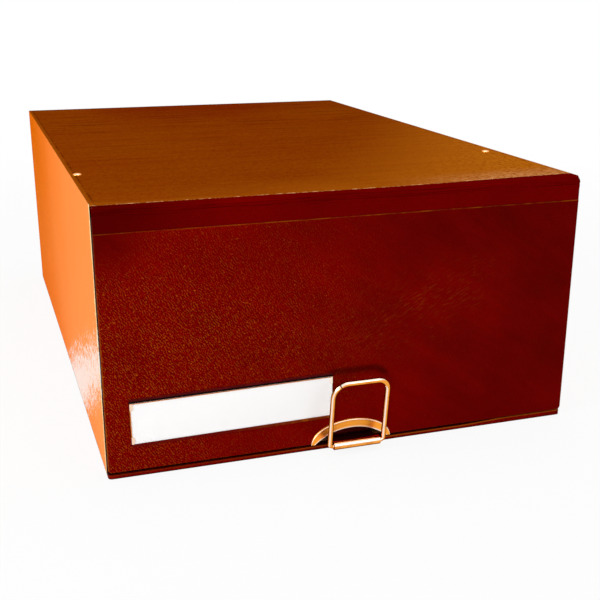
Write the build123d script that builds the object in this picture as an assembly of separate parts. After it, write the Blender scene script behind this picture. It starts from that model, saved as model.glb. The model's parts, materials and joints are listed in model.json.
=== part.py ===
from build123d import *
import math
import os

# Document box with a front flap. X runs along the front, Y to the back, Z up.
# The origin is the centre of the case's footprint, on the surface that it stands on. Sizes are in millimetres.

# Overall case, from the outer face of the closed flap to the back
case_width = 245.0
case_depth = 368.0
case_height = 131.0

# Boards, wall panels, covering and lining sheets
base_thickness = 2.0
lid_thickness = 2.4
panel_thickness = 10.0
cover_thickness = 0.4
cover_lip = 1.6
lining_thickness = 0.3
sill_sheet_thickness = 0.3
case_corner_radius = 2.0

# Flap board, its leather-grain sheet and its running gaps
flap_board_thickness = 2.4
flap_sheet_thickness = 0.5
flap_turn_in = 14.0
flap_corner_radius = 2.0
sill_gap = 0.4
closing_gap = 0.3

# Hinge cloth over the front edge of the lid
hinge_gap = 2.0
strip_height = 12.0
strip_thickness = 0.5
strip_top_margin = 2.6
fold_bead_radius = 0.4
fold_clearance = 0.3

# Tacks through the lid into the side panels
left_tack_inset = 3.6
left_tack_setback = 81.4
right_tack_inset = 8.3
right_tack_setback = 84.7
tack_head_radius = 2.25
tack_head_height = 0.9
tack_head_round = 0.8
tack_shank_radius = 0.8
tack_length = 14.0
hole_clearance = 0.05

# Label card and its holder, low on the left of the flap
label_inset = 11.9
label_rise = 14.65
label_length = 100.2
label_height = 20.6
label_tilt = 0.8
card_thickness = 0.35
holder_thickness = 0.35
holder_rail_height = 1.5
claw_length = 3.6
claw_reach = 1.3

# Half-moon notch at the bottom of the flap and its crescent rim
notch_half_width = 19.5
notch_rise = 6.8
rim_half_width = 21.5
rim_rise = 11.8
rim_height = 1.2
rim_round = 0.7
flange_thickness = 0.5
clinch_width = 1.4
clinch_thickness = 0.4
clinch_strap_room = 2.5

# Plate inside the flap, strap through the notch and its rivets
back_plate_thickness = 0.6
back_plate_half_width = 24.0
back_plate_height = 19.0
strap_thickness = 1.0
sleeve_wall = 0.8
sleeve_half_length = 12.3
sleeve_clearance = 0.06
pivot_reach = 8.4
pivot_rise = 1.9
tail_height = 13.0
strap_bend_radius = 0.9
rivet_spacing = 13.0
rivet_drop = 4.5
rivet_shank_radius = 1.2
rivet_head_radius = 2.1
rivet_head_height = 0.8
rivet_head_round = 0.6

# Wire bail in the strap's sleeve
bail_wire_radius = 1.25
bail_half_width = 14.25
bail_length = 34.8
bail_left_bend = 7.5
bail_right_bend = 5.5
bail_foot_bend = 1.75
bail_joint_gap = 0.5
bail_joint_turn = 59.0
bail_corner_turn = 90.0
bail_lean = 8.0

# How far cutting shapes run past what they cut
overrun = 5.0

# Planes and levels that the pieces share
half_width = case_width / 2
front = -case_depth / 2
back = case_depth / 2
board_half = half_width - cover_thickness
inner_half = board_half - panel_thickness
panel_back = back - cover_thickness
inner_back = panel_back - panel_thickness
flap_back = front + flap_board_thickness + 2 * flap_sheet_thickness
wall_front = flap_back + closing_gap
panel_front = wall_front + cover_thickness
lid_front = front + strip_top_margin

base_top = cover_thickness + base_thickness
sill_top = base_top + sill_sheet_thickness
floor_top = base_top + lining_thickness
flap_bottom = sill_top + sill_gap
lid_top = case_height - cover_thickness
lid_bottom = lid_top - lid_thickness
roof_bottom = lid_bottom - lining_thickness
flap_top = lid_bottom - hinge_gap
fold_height = lid_bottom - hinge_gap / 2
strip_bottom = case_height - strip_height

label_left = label_inset - half_width
label_bottom = flap_bottom + label_rise

left_tack = (left_tack_inset - half_width, front + left_tack_setback)
right_tack = (half_width - right_tack_inset, front + right_tack_setback)

notch_radius = (notch_half_width**2 + notch_rise**2) / (2 * notch_rise)
notch_centre = flap_bottom + notch_rise - notch_radius
plate_back = flap_back + back_plate_thickness
pivot_y = front - pivot_reach
pivot_height = flap_bottom + pivot_rise
bore_radius = bail_wire_radius + sleeve_clearance
sleeve_radius = bore_radius + sleeve_wall
tail_top = pivot_height + tail_height


def slab(x_span, y_span, z_span):
    """A box given by its low and high value along each axis."""
    spans = (x_span, y_span, z_span)
    size = [high - low for low, high in spans]
    centre = [(high + low) / 2 for low, high in spans]
    return Pos(*centre) * Box(*size)


def both_sides(reach):
    """A span that reaches equally far to the left and to the right."""
    return (-reach, reach)


def x_rod(radius, half_length, y, z):
    """A round rod along X, centred on the width."""
    return Pos(0, y, z) * Rot(0, 90, 0) * Cylinder(radius, 2 * half_length)


def y_disc(radius, y_span, x, z):
    """A round disc with its axis along Y."""
    low, high = y_span
    return Pos(x, (low + high) / 2, z) * Rot(90, 0, 0) * Cylinder(radius, high - low)


def z_hole(radius, x, y):
    """A round cutter along Z through the lid, its cover and the panel's top as deep as a tack."""
    low = case_height - tack_length
    high = case_height + overrun
    return Pos(x, y, (low + high) / 2) * Cylinder(radius, high - low)


def front_uprights(solid):
    """The two upright edges at the front corners of a block."""
    return solid.edges().filter_by(Axis.Z).group_by(Axis.Y)[0]


def tack_holes():
    """Cutters for the tack shanks."""
    radius = tack_shank_radius + hole_clearance
    return [z_hole(radius, x, y) for x, y in (left_tack, right_tack)]


def bottom_board():
    """Base board, which runs forward under the flap as a sill."""
    block = slab(
        both_sides(board_half),
        (front + sill_sheet_thickness, panel_back),
        (cover_thickness, base_top),
    )
    return fillet(front_uprights(block), case_corner_radius - sill_sheet_thickness)


def lid_block():
    """Lid board with its front edge and corners rounded for the hinge cloth."""
    block = slab(both_sides(board_half), (front + strip_thickness, panel_back), (lid_bottom, lid_top))
    top_front = block.edges().filter_by(Axis.X).group_by(Axis.Z)[-1].group_by(Axis.Y)[0]
    return fillet(front_uprights(block) + top_front, case_corner_radius - strip_thickness)


def top_board():
    """Lid board with its tack holes."""
    return lid_block() - tack_holes()


def side_panel(side):
    """Wall panel at the left (-1) or the right (1)."""
    panel = slab(
        (inner_half, board_half),
        (panel_front, panel_back),
        (base_top, lid_bottom),
    )
    panel = panel if side > 0 else mirror(panel, about=Plane.YZ)
    return panel - tack_holes()


def back_panel():
    """Wall panel at the back, between the side panels."""
    return slab(both_sides(inner_half), (inner_back, panel_back), (base_top, lid_bottom))


def bottom_cover():
    """Covering sheet that the case stands on."""
    return slab(both_sides(half_width), (wall_front, back), (0, cover_thickness))


def top_cover():
    """Covering sheet on the lid, between the lips of the side covers."""
    sheet = slab(both_sides(half_width - cover_lip), (lid_front, panel_back), (lid_top, case_height))
    return sheet - tack_holes()


def side_cover(side):
    """Side sheet with a lip over the lid and a turn-in round the front edge of the panel."""
    sheet = slab((board_half, half_width), (wall_front, panel_back), (cover_thickness, case_height))
    sheet += slab((board_half, half_width), (lid_front, wall_front), (lid_bottom, case_height))
    sheet += slab((half_width - cover_lip, half_width), (lid_front, panel_back), (lid_top, case_height))
    sheet += slab((inner_half, half_width), (wall_front, panel_front), (base_top, lid_bottom))
    return sheet if side > 0 else mirror(sheet, about=Plane.YZ)


def back_cover():
    """Covering sheet on the back."""
    return slab(both_sides(half_width), (panel_back, back), (cover_thickness, case_height))


def floor_lining():
    """Lining sheet on the base."""
    return slab(both_sides(inner_half), (wall_front, inner_back), (base_top, floor_top))


def roof_lining():
    """Lining sheet under the lid."""
    return slab(both_sides(inner_half), (wall_front, inner_back), (roof_bottom, lid_bottom))


def side_lining(side):
    """Lining sheet on a side panel."""
    sheet = slab(
        (inner_half - lining_thickness, inner_half),
        (wall_front, inner_back),
        (floor_top, roof_bottom),
    )
    return sheet if side > 0 else mirror(sheet, about=Plane.YZ)


def back_lining():
    """Lining sheet on the back panel."""
    return slab(
        both_sides(inner_half - lining_thickness),
        (inner_back - lining_thickness, inner_back),
        (floor_top, roof_bottom),
    )


def sill_strip():
    """Leather cloth round the front edge of the base board and its two corners."""
    block = slab(both_sides(half_width), (front, wall_front), (0, sill_top))
    return fillet(front_uprights(block), case_corner_radius) - bottom_board()


def hinge_strip_upper():
    """Hinge cloth over the front edge of the lid, down to the fold."""
    low = fold_height + fold_bead_radius + fold_clearance
    block = slab(both_sides(half_width), (front, lid_front), (low, case_height))
    top_front = block.edges().filter_by(Axis.X).group_by(Axis.Z)[-1].group_by(Axis.Y)[0]
    block = fillet(front_uprights(block) + top_front, case_corner_radius)
    under_lid = slab(
        both_sides(half_width + overrun),
        (front + strip_thickness, lid_front + overrun),
        (low - overrun, lid_bottom),
    )
    return block - lid_block() - under_lid


def lid_tacks():
    """Round-headed tacks, one by each side edge of the lid."""
    head = Pos(0, 0, tack_head_height / 2) * Cylinder(tack_head_radius, tack_head_height)
    head = fillet(head.edges().group_by(Axis.Z)[-1], tack_head_round)
    tack = head + Pos(0, 0, -tack_length / 2) * Cylinder(tack_shank_radius, tack_length)
    return [Pos(x, y, case_height) * tack for x, y in (left_tack, right_tack)]


def notch(extra):
    """Cutter for the half-moon notch, larger by extra all round."""
    span = (front - overrun, plate_back + overrun)
    return y_disc(notch_radius + extra, span, 0, notch_centre)


def flap_block(inset, y_span, top):
    """The flap's outline with rounded bottom corners, drawn in by inset at the sides and bottom."""
    block = slab(both_sides(half_width - inset), y_span, (flap_bottom + inset, top))
    corners = block.edges().filter_by(Axis.Y).group_by(Axis.Z)[0]
    return fillet(corners, flap_corner_radius - inset)


def board_block():
    """The flap board before its notch is cut."""
    low = front + flap_sheet_thickness
    return flap_block(flap_sheet_thickness, (low, low + flap_board_thickness), flap_top)


def flap_board():
    """Flap board with its notch."""
    return board_block() - notch(flange_thickness)


def lining_window(low, high):
    """The space inside the flap between the turned-in margins."""
    return slab(
        both_sides(half_width - flap_turn_in),
        (low, high),
        (flap_bottom + flap_turn_in, flap_top),
    )


def flap_cover():
    """Leather-grain sheet on the flap, turned in round its sides and bottom, up to the hinge cloth."""
    block = flap_block(0, (front, flap_back), flap_top)
    block -= board_block()
    block -= lining_window(flap_back - flap_sheet_thickness, flap_back + overrun)
    block -= slab(
        both_sides(half_width + overrun),
        (front - overrun, front + flap_sheet_thickness),
        (strip_bottom, flap_top + overrun),
    )
    return block - notch(flange_thickness)


def flap_lining():
    """Lining sheet inside the flap, flush with the turned-in margins."""
    return lining_window(flap_back - flap_sheet_thickness, flap_back) - notch(flange_thickness)


def hinge_strip_lower():
    """Hinge cloth down the front of the flap, with the round bead of its fold on the hinge axis."""
    sheet = slab(both_sides(half_width), (front, front + strip_thickness), (strip_bottom, fold_height))
    return sheet + x_rod(fold_bead_radius, half_width, front, fold_height)


def set_askew(shape):
    """Turns a piece of the label about the middle of its card, as it sits on the flap."""
    middle = Pos(label_left + label_length / 2, 0, label_bottom + label_height / 2)
    return middle * Rot(0, -label_tilt, 0) * middle.inverse() * shape


def label_holder():
    """Thin metal holder with a rail under the card and claws over its four corners."""
    low_x = label_left - holder_thickness
    high_x = label_left + label_length + holder_thickness
    plate_front = front - holder_thickness
    card_front = plate_front - card_thickness
    claw_front = card_front - holder_thickness
    label_top = label_bottom + label_height
    plate = slab((low_x, high_x), (plate_front, front), (label_bottom - holder_rail_height, label_top))
    rail = slab((low_x, high_x), (claw_front, plate_front), (label_bottom - holder_rail_height, label_bottom))
    holder = plate + rail
    claw_span = holder_thickness + claw_reach
    ends = (
        ((low_x, label_left), (low_x, low_x + claw_span)),
        ((label_left + label_length, high_x), (high_x - claw_span, high_x)),
    )
    heights = ((label_bottom, label_bottom + claw_length), (label_top - claw_length, label_top))
    for wall, claw in ends:
        for height in heights:
            holder += slab(wall, (claw_front, plate_front), height)
            holder += slab(claw, (claw_front, card_front), height)
    return set_askew(holder)


def label_card():
    """White card in the holder."""
    plate_front = front - holder_thickness
    card = slab(
        (label_left, label_left + label_length),
        (plate_front - card_thickness, plate_front),
        (label_bottom, label_bottom + label_height),
    )
    return set_askew(card)


def above_flap_edge(shape):
    """Keeps what lies above the bottom edge of the flap."""
    reach = rim_half_width + overrun
    keep = slab(
        both_sides(reach),
        (front - overrun, plate_back + overrun),
        (flap_bottom, flap_bottom + rim_rise + overrun),
    )
    return shape & keep


def notch_rim():
    """Crescent rim with a flange through the notch, clinched over the back plate on both sides of the strap."""
    with BuildSketch(Plane.XZ) as crescent:
        with Locations((0, flap_bottom)):
            Ellipse(rim_half_width, rim_rise)
        with Locations((0, notch_centre)):
            Circle(notch_radius, mode=Mode.SUBTRACT)
        with Locations((0, flap_bottom - rim_rise)):
            Rectangle(4 * rim_half_width, 2 * rim_rise, mode=Mode.SUBTRACT)
    face = Pos(0, front, 0) * extrude(crescent.sketch, rim_height)
    outline = face.faces().sort_by(Axis.Y)[0].edges()
    face = fillet(outline.filter_by(GeomType.LINE, reverse=True), rim_round)
    flange = y_disc(notch_radius + flange_thickness, (front, plate_back), 0, notch_centre)
    lip_span = (plate_back, plate_back + clinch_thickness)
    lip = y_disc(notch_radius + flange_thickness + clinch_width, lip_span, 0, notch_centre)
    lip -= slab(
        both_sides(sleeve_half_length + clinch_strap_room),
        (plate_back - overrun, plate_back + overrun),
        (flap_bottom, flap_bottom + rim_rise),
    )
    return face + above_flap_edge(flange + lip - notch(0))


def rim_back_plate():
    """Plate inside the flap, round the notch, that the rim and the strap are fixed to."""
    plate = slab(
        both_sides(back_plate_half_width),
        (flap_back, plate_back),
        (flap_bottom, flap_bottom + back_plate_height),
    )
    corners = plate.edges().filter_by(Axis.Y).group_by(Axis.Z)[-1]
    plate = fillet(corners, flap_corner_radius)
    return plate - notch(flange_thickness) - rivet_holes()


def rivet_places():
    """X and Z of the two strap rivets."""
    return [(side * rivet_spacing / 2, tail_top - rivet_drop) for side in (-1, 1)]


def rivet_holes():
    """Cutters for the strap rivets."""
    span = (flap_back - overrun, plate_back + strap_thickness + overrun)
    return [y_disc(rivet_shank_radius + hole_clearance, span, x, z) for x, z in rivet_places()]


def pull_strap():
    """Strap rolled round the bail's foot, led back through the notch and turned up inside the flap."""
    tail_back = plate_back + strap_thickness
    tongue_low = pivot_height - strap_thickness / 2
    tongue_front = pivot_y + bore_radius + sleeve_wall / 2
    width = both_sides(sleeve_half_length)
    tongue = slab(width, (tongue_front, tail_back), (tongue_low, tongue_low + strap_thickness))
    tail = slab(width, (plate_back, tail_back), (tongue_low, tail_top))
    strap = tongue + tail
    heel = strap.edges().filter_by(Axis.X).group_by(Axis.Z)[0].group_by(Axis.Y)[-1]
    strap = fillet(heel, strap_bend_radius)
    strap += x_rod(sleeve_radius, sleeve_half_length, pivot_y, pivot_height)
    strap -= x_rod(bore_radius, sleeve_half_length + overrun, pivot_y, pivot_height)
    return strap - rivet_holes()


def strap_rivets():
    """Rivets flush in the back plate, with round heads on the strap's tail."""
    tail_back = plate_back + strap_thickness
    rivets = []
    for x, z in rivet_places():
        head = y_disc(rivet_head_radius, (tail_back, tail_back + rivet_head_height), x, z)
        head = fillet(head.edges().group_by(Axis.Y)[-1], rivet_head_round)
        rivets.append(head + y_disc(rivet_shank_radius, (flap_back, tail_back), x, z))
    return rivets


def on_left_bend(turn):
    """Place on the wire's upper left bend, at a turn in degrees from the leg towards the top."""
    angle = math.radians(turn)
    x = bail_left_bend * (1 - math.cos(angle)) - bail_half_width
    z = bail_left_bend * (math.sin(angle) - 1) + bail_length
    return Vector(x, 0, z)


def left_bend_arc(start, end):
    """Part of the wire's upper left bend, between two turns in degrees."""
    return ThreePointArc(on_left_bend(start), on_left_bend((start + end) / 2), on_left_bend(end))


def bail():
    """Wire loop through the sleeve, with the butt joint of its two ends in the upper left bend."""
    half_gap = math.degrees(bail_joint_gap / bail_left_bend) / 2
    corners = [
        (bail_left_bend - bail_half_width, bail_length),
        (bail_half_width, bail_length),
        (bail_half_width, 0),
        (-bail_half_width, 0),
        (-bail_half_width, bail_length - bail_left_bend),
    ]
    bends = [bail_right_bend, bail_foot_bend, bail_foot_bend]
    frame = FilletPolyline(*[Vector(x, 0, z) for x, z in corners], radius=bends)
    first = left_bend_arc(bail_joint_turn + half_gap, bail_corner_turn)
    last = left_bend_arc(0, bail_joint_turn - half_gap)
    route = Wire([*first.edges(), *frame.edges(), *last.edges()])
    section = Plane(origin=route @ 0, z_dir=route % 0) * Circle(bail_wire_radius)
    wire = sweep(section, path=route)
    swept = math.pi * bail_wire_radius**2 * route.length
    print("bail wire volume over section times length:", wire.volume / swept)
    return Pos(0, pivot_y, pivot_height) * Rot(bail_lean, 0, 0) * wire


pieces = {
    "bottom_board": bottom_board(),
    "top_board": top_board(),
    "left_panel": side_panel(-1),
    "right_panel": side_panel(1),
    "back_panel": back_panel(),
    "bottom_cover": bottom_cover(),
    "top_cover": top_cover(),
    "left_cover": side_cover(-1),
    "right_cover": side_cover(1),
    "back_cover": back_cover(),
    "floor_lining": floor_lining(),
    "roof_lining": roof_lining(),
    "left_lining": side_lining(-1),
    "right_lining": side_lining(1),
    "back_lining": back_lining(),
    "sill_strip": sill_strip(),
    "hinge_strip_upper": hinge_strip_upper(),
    "lid_tacks": lid_tacks(),
    "flap_board": flap_board(),
    "flap_cover": flap_cover(),
    "flap_lining": flap_lining(),
    "hinge_strip_lower": hinge_strip_lower(),
    "label_holder": label_holder(),
    "label_card": label_card(),
    "notch_rim": notch_rim(),
    "rim_back_plate": rim_back_plate(),
    "pull_strap": pull_strap(),
    "strap_rivets": strap_rivets(),
    "bail": bail(),
}

os.makedirs("parts", exist_ok=True)
for name, piece in pieces.items():
    solids = piece if isinstance(piece, list) else [piece]
    export_step(Compound(children=[solid for part in solids for solid in part.solids()]), f"parts/{name}.step")
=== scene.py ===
import json
import math

import bmesh
import bpy
from mathutils import Matrix, Vector


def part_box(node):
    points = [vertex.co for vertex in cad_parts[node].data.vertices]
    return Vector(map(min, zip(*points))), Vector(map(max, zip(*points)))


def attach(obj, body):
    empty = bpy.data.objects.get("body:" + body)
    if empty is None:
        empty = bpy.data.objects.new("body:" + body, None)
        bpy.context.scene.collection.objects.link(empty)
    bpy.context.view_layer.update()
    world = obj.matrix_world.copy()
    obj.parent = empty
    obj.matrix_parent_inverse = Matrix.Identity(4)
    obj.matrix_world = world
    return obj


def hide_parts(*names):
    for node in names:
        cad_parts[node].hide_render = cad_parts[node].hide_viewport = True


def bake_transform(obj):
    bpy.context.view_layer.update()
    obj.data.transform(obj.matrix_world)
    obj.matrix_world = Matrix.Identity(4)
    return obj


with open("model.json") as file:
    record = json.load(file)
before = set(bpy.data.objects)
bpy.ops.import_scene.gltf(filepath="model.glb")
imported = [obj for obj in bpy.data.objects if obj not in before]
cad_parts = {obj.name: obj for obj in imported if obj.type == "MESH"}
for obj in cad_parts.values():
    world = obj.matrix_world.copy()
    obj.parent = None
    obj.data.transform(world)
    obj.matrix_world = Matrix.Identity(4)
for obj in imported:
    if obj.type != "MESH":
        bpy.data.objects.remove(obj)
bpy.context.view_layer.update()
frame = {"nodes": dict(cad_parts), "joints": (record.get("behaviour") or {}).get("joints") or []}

bl_info = {
    "name": "Document Box",
    "version": (1, 0, 0),
    "blender": (4, 5, 0),
    "location": "View3D > Sidebar > Document Box",
    "description": "Dresses a flap-front document box in sheets, cloth, card and gilt metal",
    "category": "Object",
}

MM = 0.001

# Places that the pieces share, read from the frame
HALF_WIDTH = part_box("right_cover")[1].x
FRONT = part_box("flap_cover")[0].y
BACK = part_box("back_cover")[1].y
FLAP_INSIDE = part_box("flap_cover")[1].y
FLAP_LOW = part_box("flap_cover")[0].z
CASE_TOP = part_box("top_cover")[1].z
LID_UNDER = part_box("top_board")[0].z
LID_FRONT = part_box("top_cover")[0].y
STRIP_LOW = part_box("hinge_strip_lower")[0].z
WALL_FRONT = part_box("bottom_cover")[0].y
PLATE_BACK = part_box("rim_back_plate")[1].y
JOINTS = {joint["name"]: joint for joint in frame["joints"]}
FOLD = Vector(JOINTS["flap_hinge"]["pos_m"])
FOLD_END = 2 * FOLD.z - LID_UNDER
PIVOT = Vector(JOINTS["bail_pivot"]["pos_m"])

# How near two places have to be to count as the same
SAME_PLACE = 0.02 * MM
MERGE_GAP = 0.001 * MM

# Angles between faces: at most for one flat, and at least for a sharp edge, a cut edge and a head's edge
FLAT_ANGLE = math.radians(1)
SHARP_ANGLE = math.radians(30)
CUT_ANGLE = math.radians(50)
HEAD_ANGLE = math.radians(60)

# Between these places along the front the cloth comes to lie further over the lid
OVERLAP_FROM = 10 * MM
OVERLAP_TO = 120 * MM
CLOTH_LIFT = 0.1 * MM

# Lean of the flap's long grain, in degrees
GRAIN_TURN = 57.0

LEVEL = (0, 0, 0)
WHITE = (1, 1, 1)


def number_value(name, description, default, **limits):
    """A number that a user may change."""
    return bpy.props.FloatProperty(name=name, description=description, default=default, **limits)


def length_value(name, description, millimetres):
    """A length, given in millimetres and kept in metres."""
    limits = {"min": 0, "precision": 5, "unit": "LENGTH", "subtype": "DISTANCE"}
    return number_value(name, description, millimetres * MM, **limits)


def angle_value(name, description, degrees):
    """An angle, given in degrees."""
    return number_value(name, description, math.radians(degrees), unit="ROTATION", subtype="ANGLE")


def share_value(name, description, default):
    """A share from none to all."""
    return number_value(name, description, default, min=0, max=1, subtype="FACTOR")


def power_value(name, description, watts):
    """A lamp's power."""
    return number_value(name, description, watts, min=0, unit="POWER")


def colour_value(name, description, default):
    """A linear colour."""
    return bpy.props.FloatVectorProperty(
        name=name, description=description, default=default, size=3, min=0, max=1, subtype="COLOR"
    )


class BoxSizes(bpy.types.PropertyGroup):
    """Sizes of the details that the sheets, cloth and metal pieces get."""

    case_round: length_value("Case edge", "Roundness of the covered edges of the case", 0.7)
    sill_round: length_value("Sill edge", "Roundness of the binding on the sill", 0.45)
    flap_round: length_value("Flap edge", "Roundness of the covered edges of the flap", 0.8)
    sheet_round: length_value("Sheet edge", "Roundness of a sheet's cut edges", 0.09)
    lid_round: length_value("Lid edge", "Radius of the hinge cloth round the lid's front edge", 2.0)
    cloth_thickness: length_value("Hinge cloth", "Thickness of the hinge cloth", 0.3)
    cloth_sink: length_value("Cloth sink", "How far the cloth lies under the flap's sheet", 0.2)
    crease_depth: length_value("Crease", "Depth of the crease at the hinge", 0.28)
    overlap_left: length_value("Left overlap", "How far the cloth lies over the lid at its left", 0.4)
    overlap_right: length_value("Right overlap", "How far the cloth lies over the lid at its right end", 5.6)
    card_length: length_value("Card length", "Length of the label card", 100.2)
    card_height: length_value("Card height", "Height of the label card", 20.6)
    label_tilt: angle_value("Label tilt", "How far the label's right end sits up", 0.8)
    card_thickness: length_value("Card", "Thickness of the label card", 0.3)
    card_bow: length_value("Card bow", "How far the label card bows out between its claws", 0.16)
    holder_thickness: length_value("Holder sheet", "Thickness of the label holder's sheet metal", 0.33)
    rail_height: length_value("Holder rail", "Height of the rail under the card", 1.5)
    # The lip is a dark sheet that stands for the shadow above the card
    lip_height: length_value("Holder lip", "Height of the dark lip over the card", 2.0)
    bead_width: length_value("Holder bead", "Width of the bright edge that lies over the card", 0.30)
    claw_length: length_value("Claw length", "Length of a claw along the card's end", 3.6)
    claw_reach: length_value("Claw reach", "How far a claw lies over the card", 1.5)
    notch_half_width: length_value("Notch half width", "Half of the notch's width at the flap's edge", 19.5)
    notch_rise: length_value("Notch rise", "Height of the notch over the flap's edge", 6.8)
    rim_half_width: length_value("Rim half width", "Half of the rim's width at the flap's edge", 21.5)
    rim_rise: length_value("Rim rise", "Height of the rim over the flap's edge", 11.8)
    rim_thickness: length_value("Rim sheet", "Thickness of the rim's pressed metal", 0.35)
    strap_half_width: length_value("Strap half width", "Half of the strap's width", 12.3)
    strap_thickness: length_value("Strap sheet", "Thickness of the strap", 0.8)
    sleeve_bore: length_value("Sleeve bore", "Radius inside the strap's rolled sleeve", 1.31)
    wire_radius: length_value("Wire", "Radius of the bail's wire", 1.25)
    bail_half_width: length_value("Bail half width", "Half of the bail's width, to its wire's middle", 14.25)
    bail_length: length_value("Bail length", "Length of the bail, from its foot to its top bar", 34.8)
    bail_left_bend: length_value("Left bend", "Radius of the bail's upper left bend", 7.5)
    bail_right_bend: length_value("Right bend", "Radius of the bail's upper right bend", 5.5)
    bail_foot_bend: length_value("Foot bends", "Radius of the bends by the bail's foot", 1.75)
    bail_joint_gap: length_value("Joint gap", "Gap between the two ends of the wire", 0.5)
    bail_joint_turn: angle_value("Joint place", "Where the joint lies on the left bend, from the leg", 59.0)
    bail_lean: angle_value("Lean", "How far the bail leans out from the flap at rest", 8.0)
    tack_head: length_value("Tack head", "Radius of a tack's head", 2.25)
    rivet_head: length_value("Rivet head", "Radius of a rivet's head", 2.1)


class BoxFinishes(bpy.types.PropertyGroup):
    """Colours and grain of the finishes."""

    # One covering painted in light and shade face by face: the maroon of the flap and cloth is its shaded
    # front, the brown of the lid its dimly lit top, and the orange tan of the side sheets its lit sides
    flap_maroon: colour_value("Flap sheet", "Maroon of the flap's sheet", (0.200, 0.0006, 0.0003))
    flap_shade: colour_value("Flap shade", "Darker maroon in the flap's clouds", (0.090, 0.0003, 0.0002))
    # Painted highlight of the flap's grain ridges, and the gold of real specks, scratches and wear
    fleck_gold: colour_value("Flecks", "Golden brown of the rubbed grain", (0.300, 0.072, 0.003))
    # Painted highlight on worn edges, together with the pale board that shows there
    worn_edge: colour_value("Worn edge", "Pale board that shows along worn edges", (0.85, 0.42, 0.16))
    cloth_maroon: colour_value("Hinge cloth", "Maroon of the hinge cloth", (0.108, 0.0004, 0.0003))
    lid_brown: colour_value("Lid sheet", "Brown of the lid's sheet", (0.256, 0.0515, 0.0004))
    lid_shade: colour_value("Lid shade", "Red brown of the lid's streaks", (0.186, 0.0165, 0.0004))
    # Painted golden sheen of the lid's front right, also the gold of worn edges
    lid_gold: colour_value("Lid gold", "Golden brown of the lid's front right", (0.49, 0.140, 0.006))
    # Painted pale highlight by the lid's front right edge
    lid_pale: colour_value("Lid pale", "Faded tan of the lid by its front right edge", (0.62, 0.29, 0.12))
    side_tan: colour_value("Side sheet", "Orange tan of the side sheets", (0.98, 0.325, 0.092))
    side_shade: colour_value("Side shade", "Deeper tan of the side sheets", (0.97, 0.190, 0.004))
    # Painted highlight on the side sheets' pale patch
    side_pale: colour_value("Side pale", "Pale tan where the side sheets are rubbed", (0.97, 0.68, 0.45))
    # Painted highlight along the side sheets' worn front edge
    side_cream: colour_value("Side cream", "Cream of the side sheets' frayed front edge", (1.0, 0.80, 0.42))
    base_brown: colour_value("Base sheet", "Brown of the sheet under the case", (0.085, 0.022, 0.010))
    lining_buff: colour_value("Lining", "Buff of the lining paper", (0.52, 0.41, 0.28))
    board_brown: colour_value("Boards", "Brown of the pressed boards", (0.27, 0.165, 0.09))
    wood_tan: colour_value("Panels", "Tan of the sawn panels", (0.55, 0.37, 0.20))
    card_white: colour_value("Card", "White of the label card", (0.97, 0.97, 0.965))
    gilt: colour_value("Gilt", "Gold of the plated metal", (0.93, 0.36, 0.055))
    rim_gilt: colour_value("Rim gilt", "Orange gold of the pressed rim", (1.0, 0.36, 0.035))
    gilt_shade: colour_value("Gilt shade", "Darker gold where the plating is worn", (0.66, 0.19, 0.018))
    # Painted highlight of the plated metal
    white_metal: colour_value("White metal", "Pale metal under rubbed plating", (1.0, 0.88, 0.76))
    bronze: colour_value("Bronze", "Maroon bronze of the label holder's plate", (0.120, 0.002, 0.001))
    # Dark coat that stands for the shade in the notch and above the label card
    lacquer: colour_value("Lacquer", "Dark lacquer of the strap behind its sleeve", (0.075, 0.0008, 0.0010))
    steel: colour_value("Steel", "Grey of the plain steel", (0.60, 0.58, 0.55))
    leather_glint: colour_value("Glint", "Warm tint of the leather's gloss", (1.0, 0.52, 0.16))
    flap_pitch: length_value("Flap grain", "Spacing of the flap's long grain", 1.1)
    flap_ridge: length_value("Flap ridges", "Length of the flap's ridges", 1.7)
    grain_pitch: length_value("Grain", "Spacing of the leather grain", 0.80)
    grain_depth: length_value("Grain depth", "Depth of the leather grain", 0.10)
    # Share of the painted gold highlight on the flap's ridges
    fleck_share: share_value("Fleck share", "How far the rubbed grains go to gold at most", 0.55)


class BoxStage(bpy.types.PropertyGroup):
    """Camera, lamps and floor."""

    floor: colour_value("Floor", "Colour of the floor", (0.86, 0.86, 0.86))
    floor_white: share_value("Floor white", "How far the floor is white to the camera and reflections", 0.90)
    sky: number_value("Sky", "Strength of the even light from all round", 0.50, min=0)
    key: power_value("Key lamp", "Power of the soft lamp at the left", 6.0)
    top: power_value("Top lamp", "Power of the soft lamp above", 4.1)
    fill: power_value("Front lamp", "Power of the low lamp in front", 4.3)
    broad: power_value("Broad lamp", "Power of the broad lamp in front at the right", 1.8)
    lens: number_value("Lens", "Focal length on a sensor 36 mm wide, in millimetres", 59.81, min=1)


def sizes():
    """The sizes of the details."""
    return bpy.context.scene.box_sizes


def finishes():
    """The colours and grain of the finishes."""
    return bpy.context.scene.box_finishes


# Meshes


def near(value, place):
    """Whether a coordinate is at a place."""
    return abs(value - place) < SAME_PLACE


def arc(centre, radius, start, end, steps):
    """Points along an arc in a plane, from a start to an end angle in degrees."""
    angles = [math.radians(angle) for angle in stations(start, end, steps)]
    return [(centre[0] + radius * math.cos(a), centre[1] + radius * math.sin(a)) for a in angles]


def stations(low, high, steps):
    """Evenly spaced values from low to high."""
    return [low + (high - low) * step / steps for step in range(steps + 1)]


def smooth_step(low, high, value):
    """A soft step from 0 at low to 1 at high."""
    share = min(max((value - low) / (high - low), 0), 1)
    return share * share * (3 - 2 * share)


def waver(place, pitch, seed):
    """A slow, even wobble between -1 and 1 along a length."""
    turn = place / pitch
    waves = (turn + seed, 2.3 * turn + 2 * seed, 0.41 * turn + 3 * seed)
    return sum(math.sin(wave) for wave in waves) / len(waves)


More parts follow.
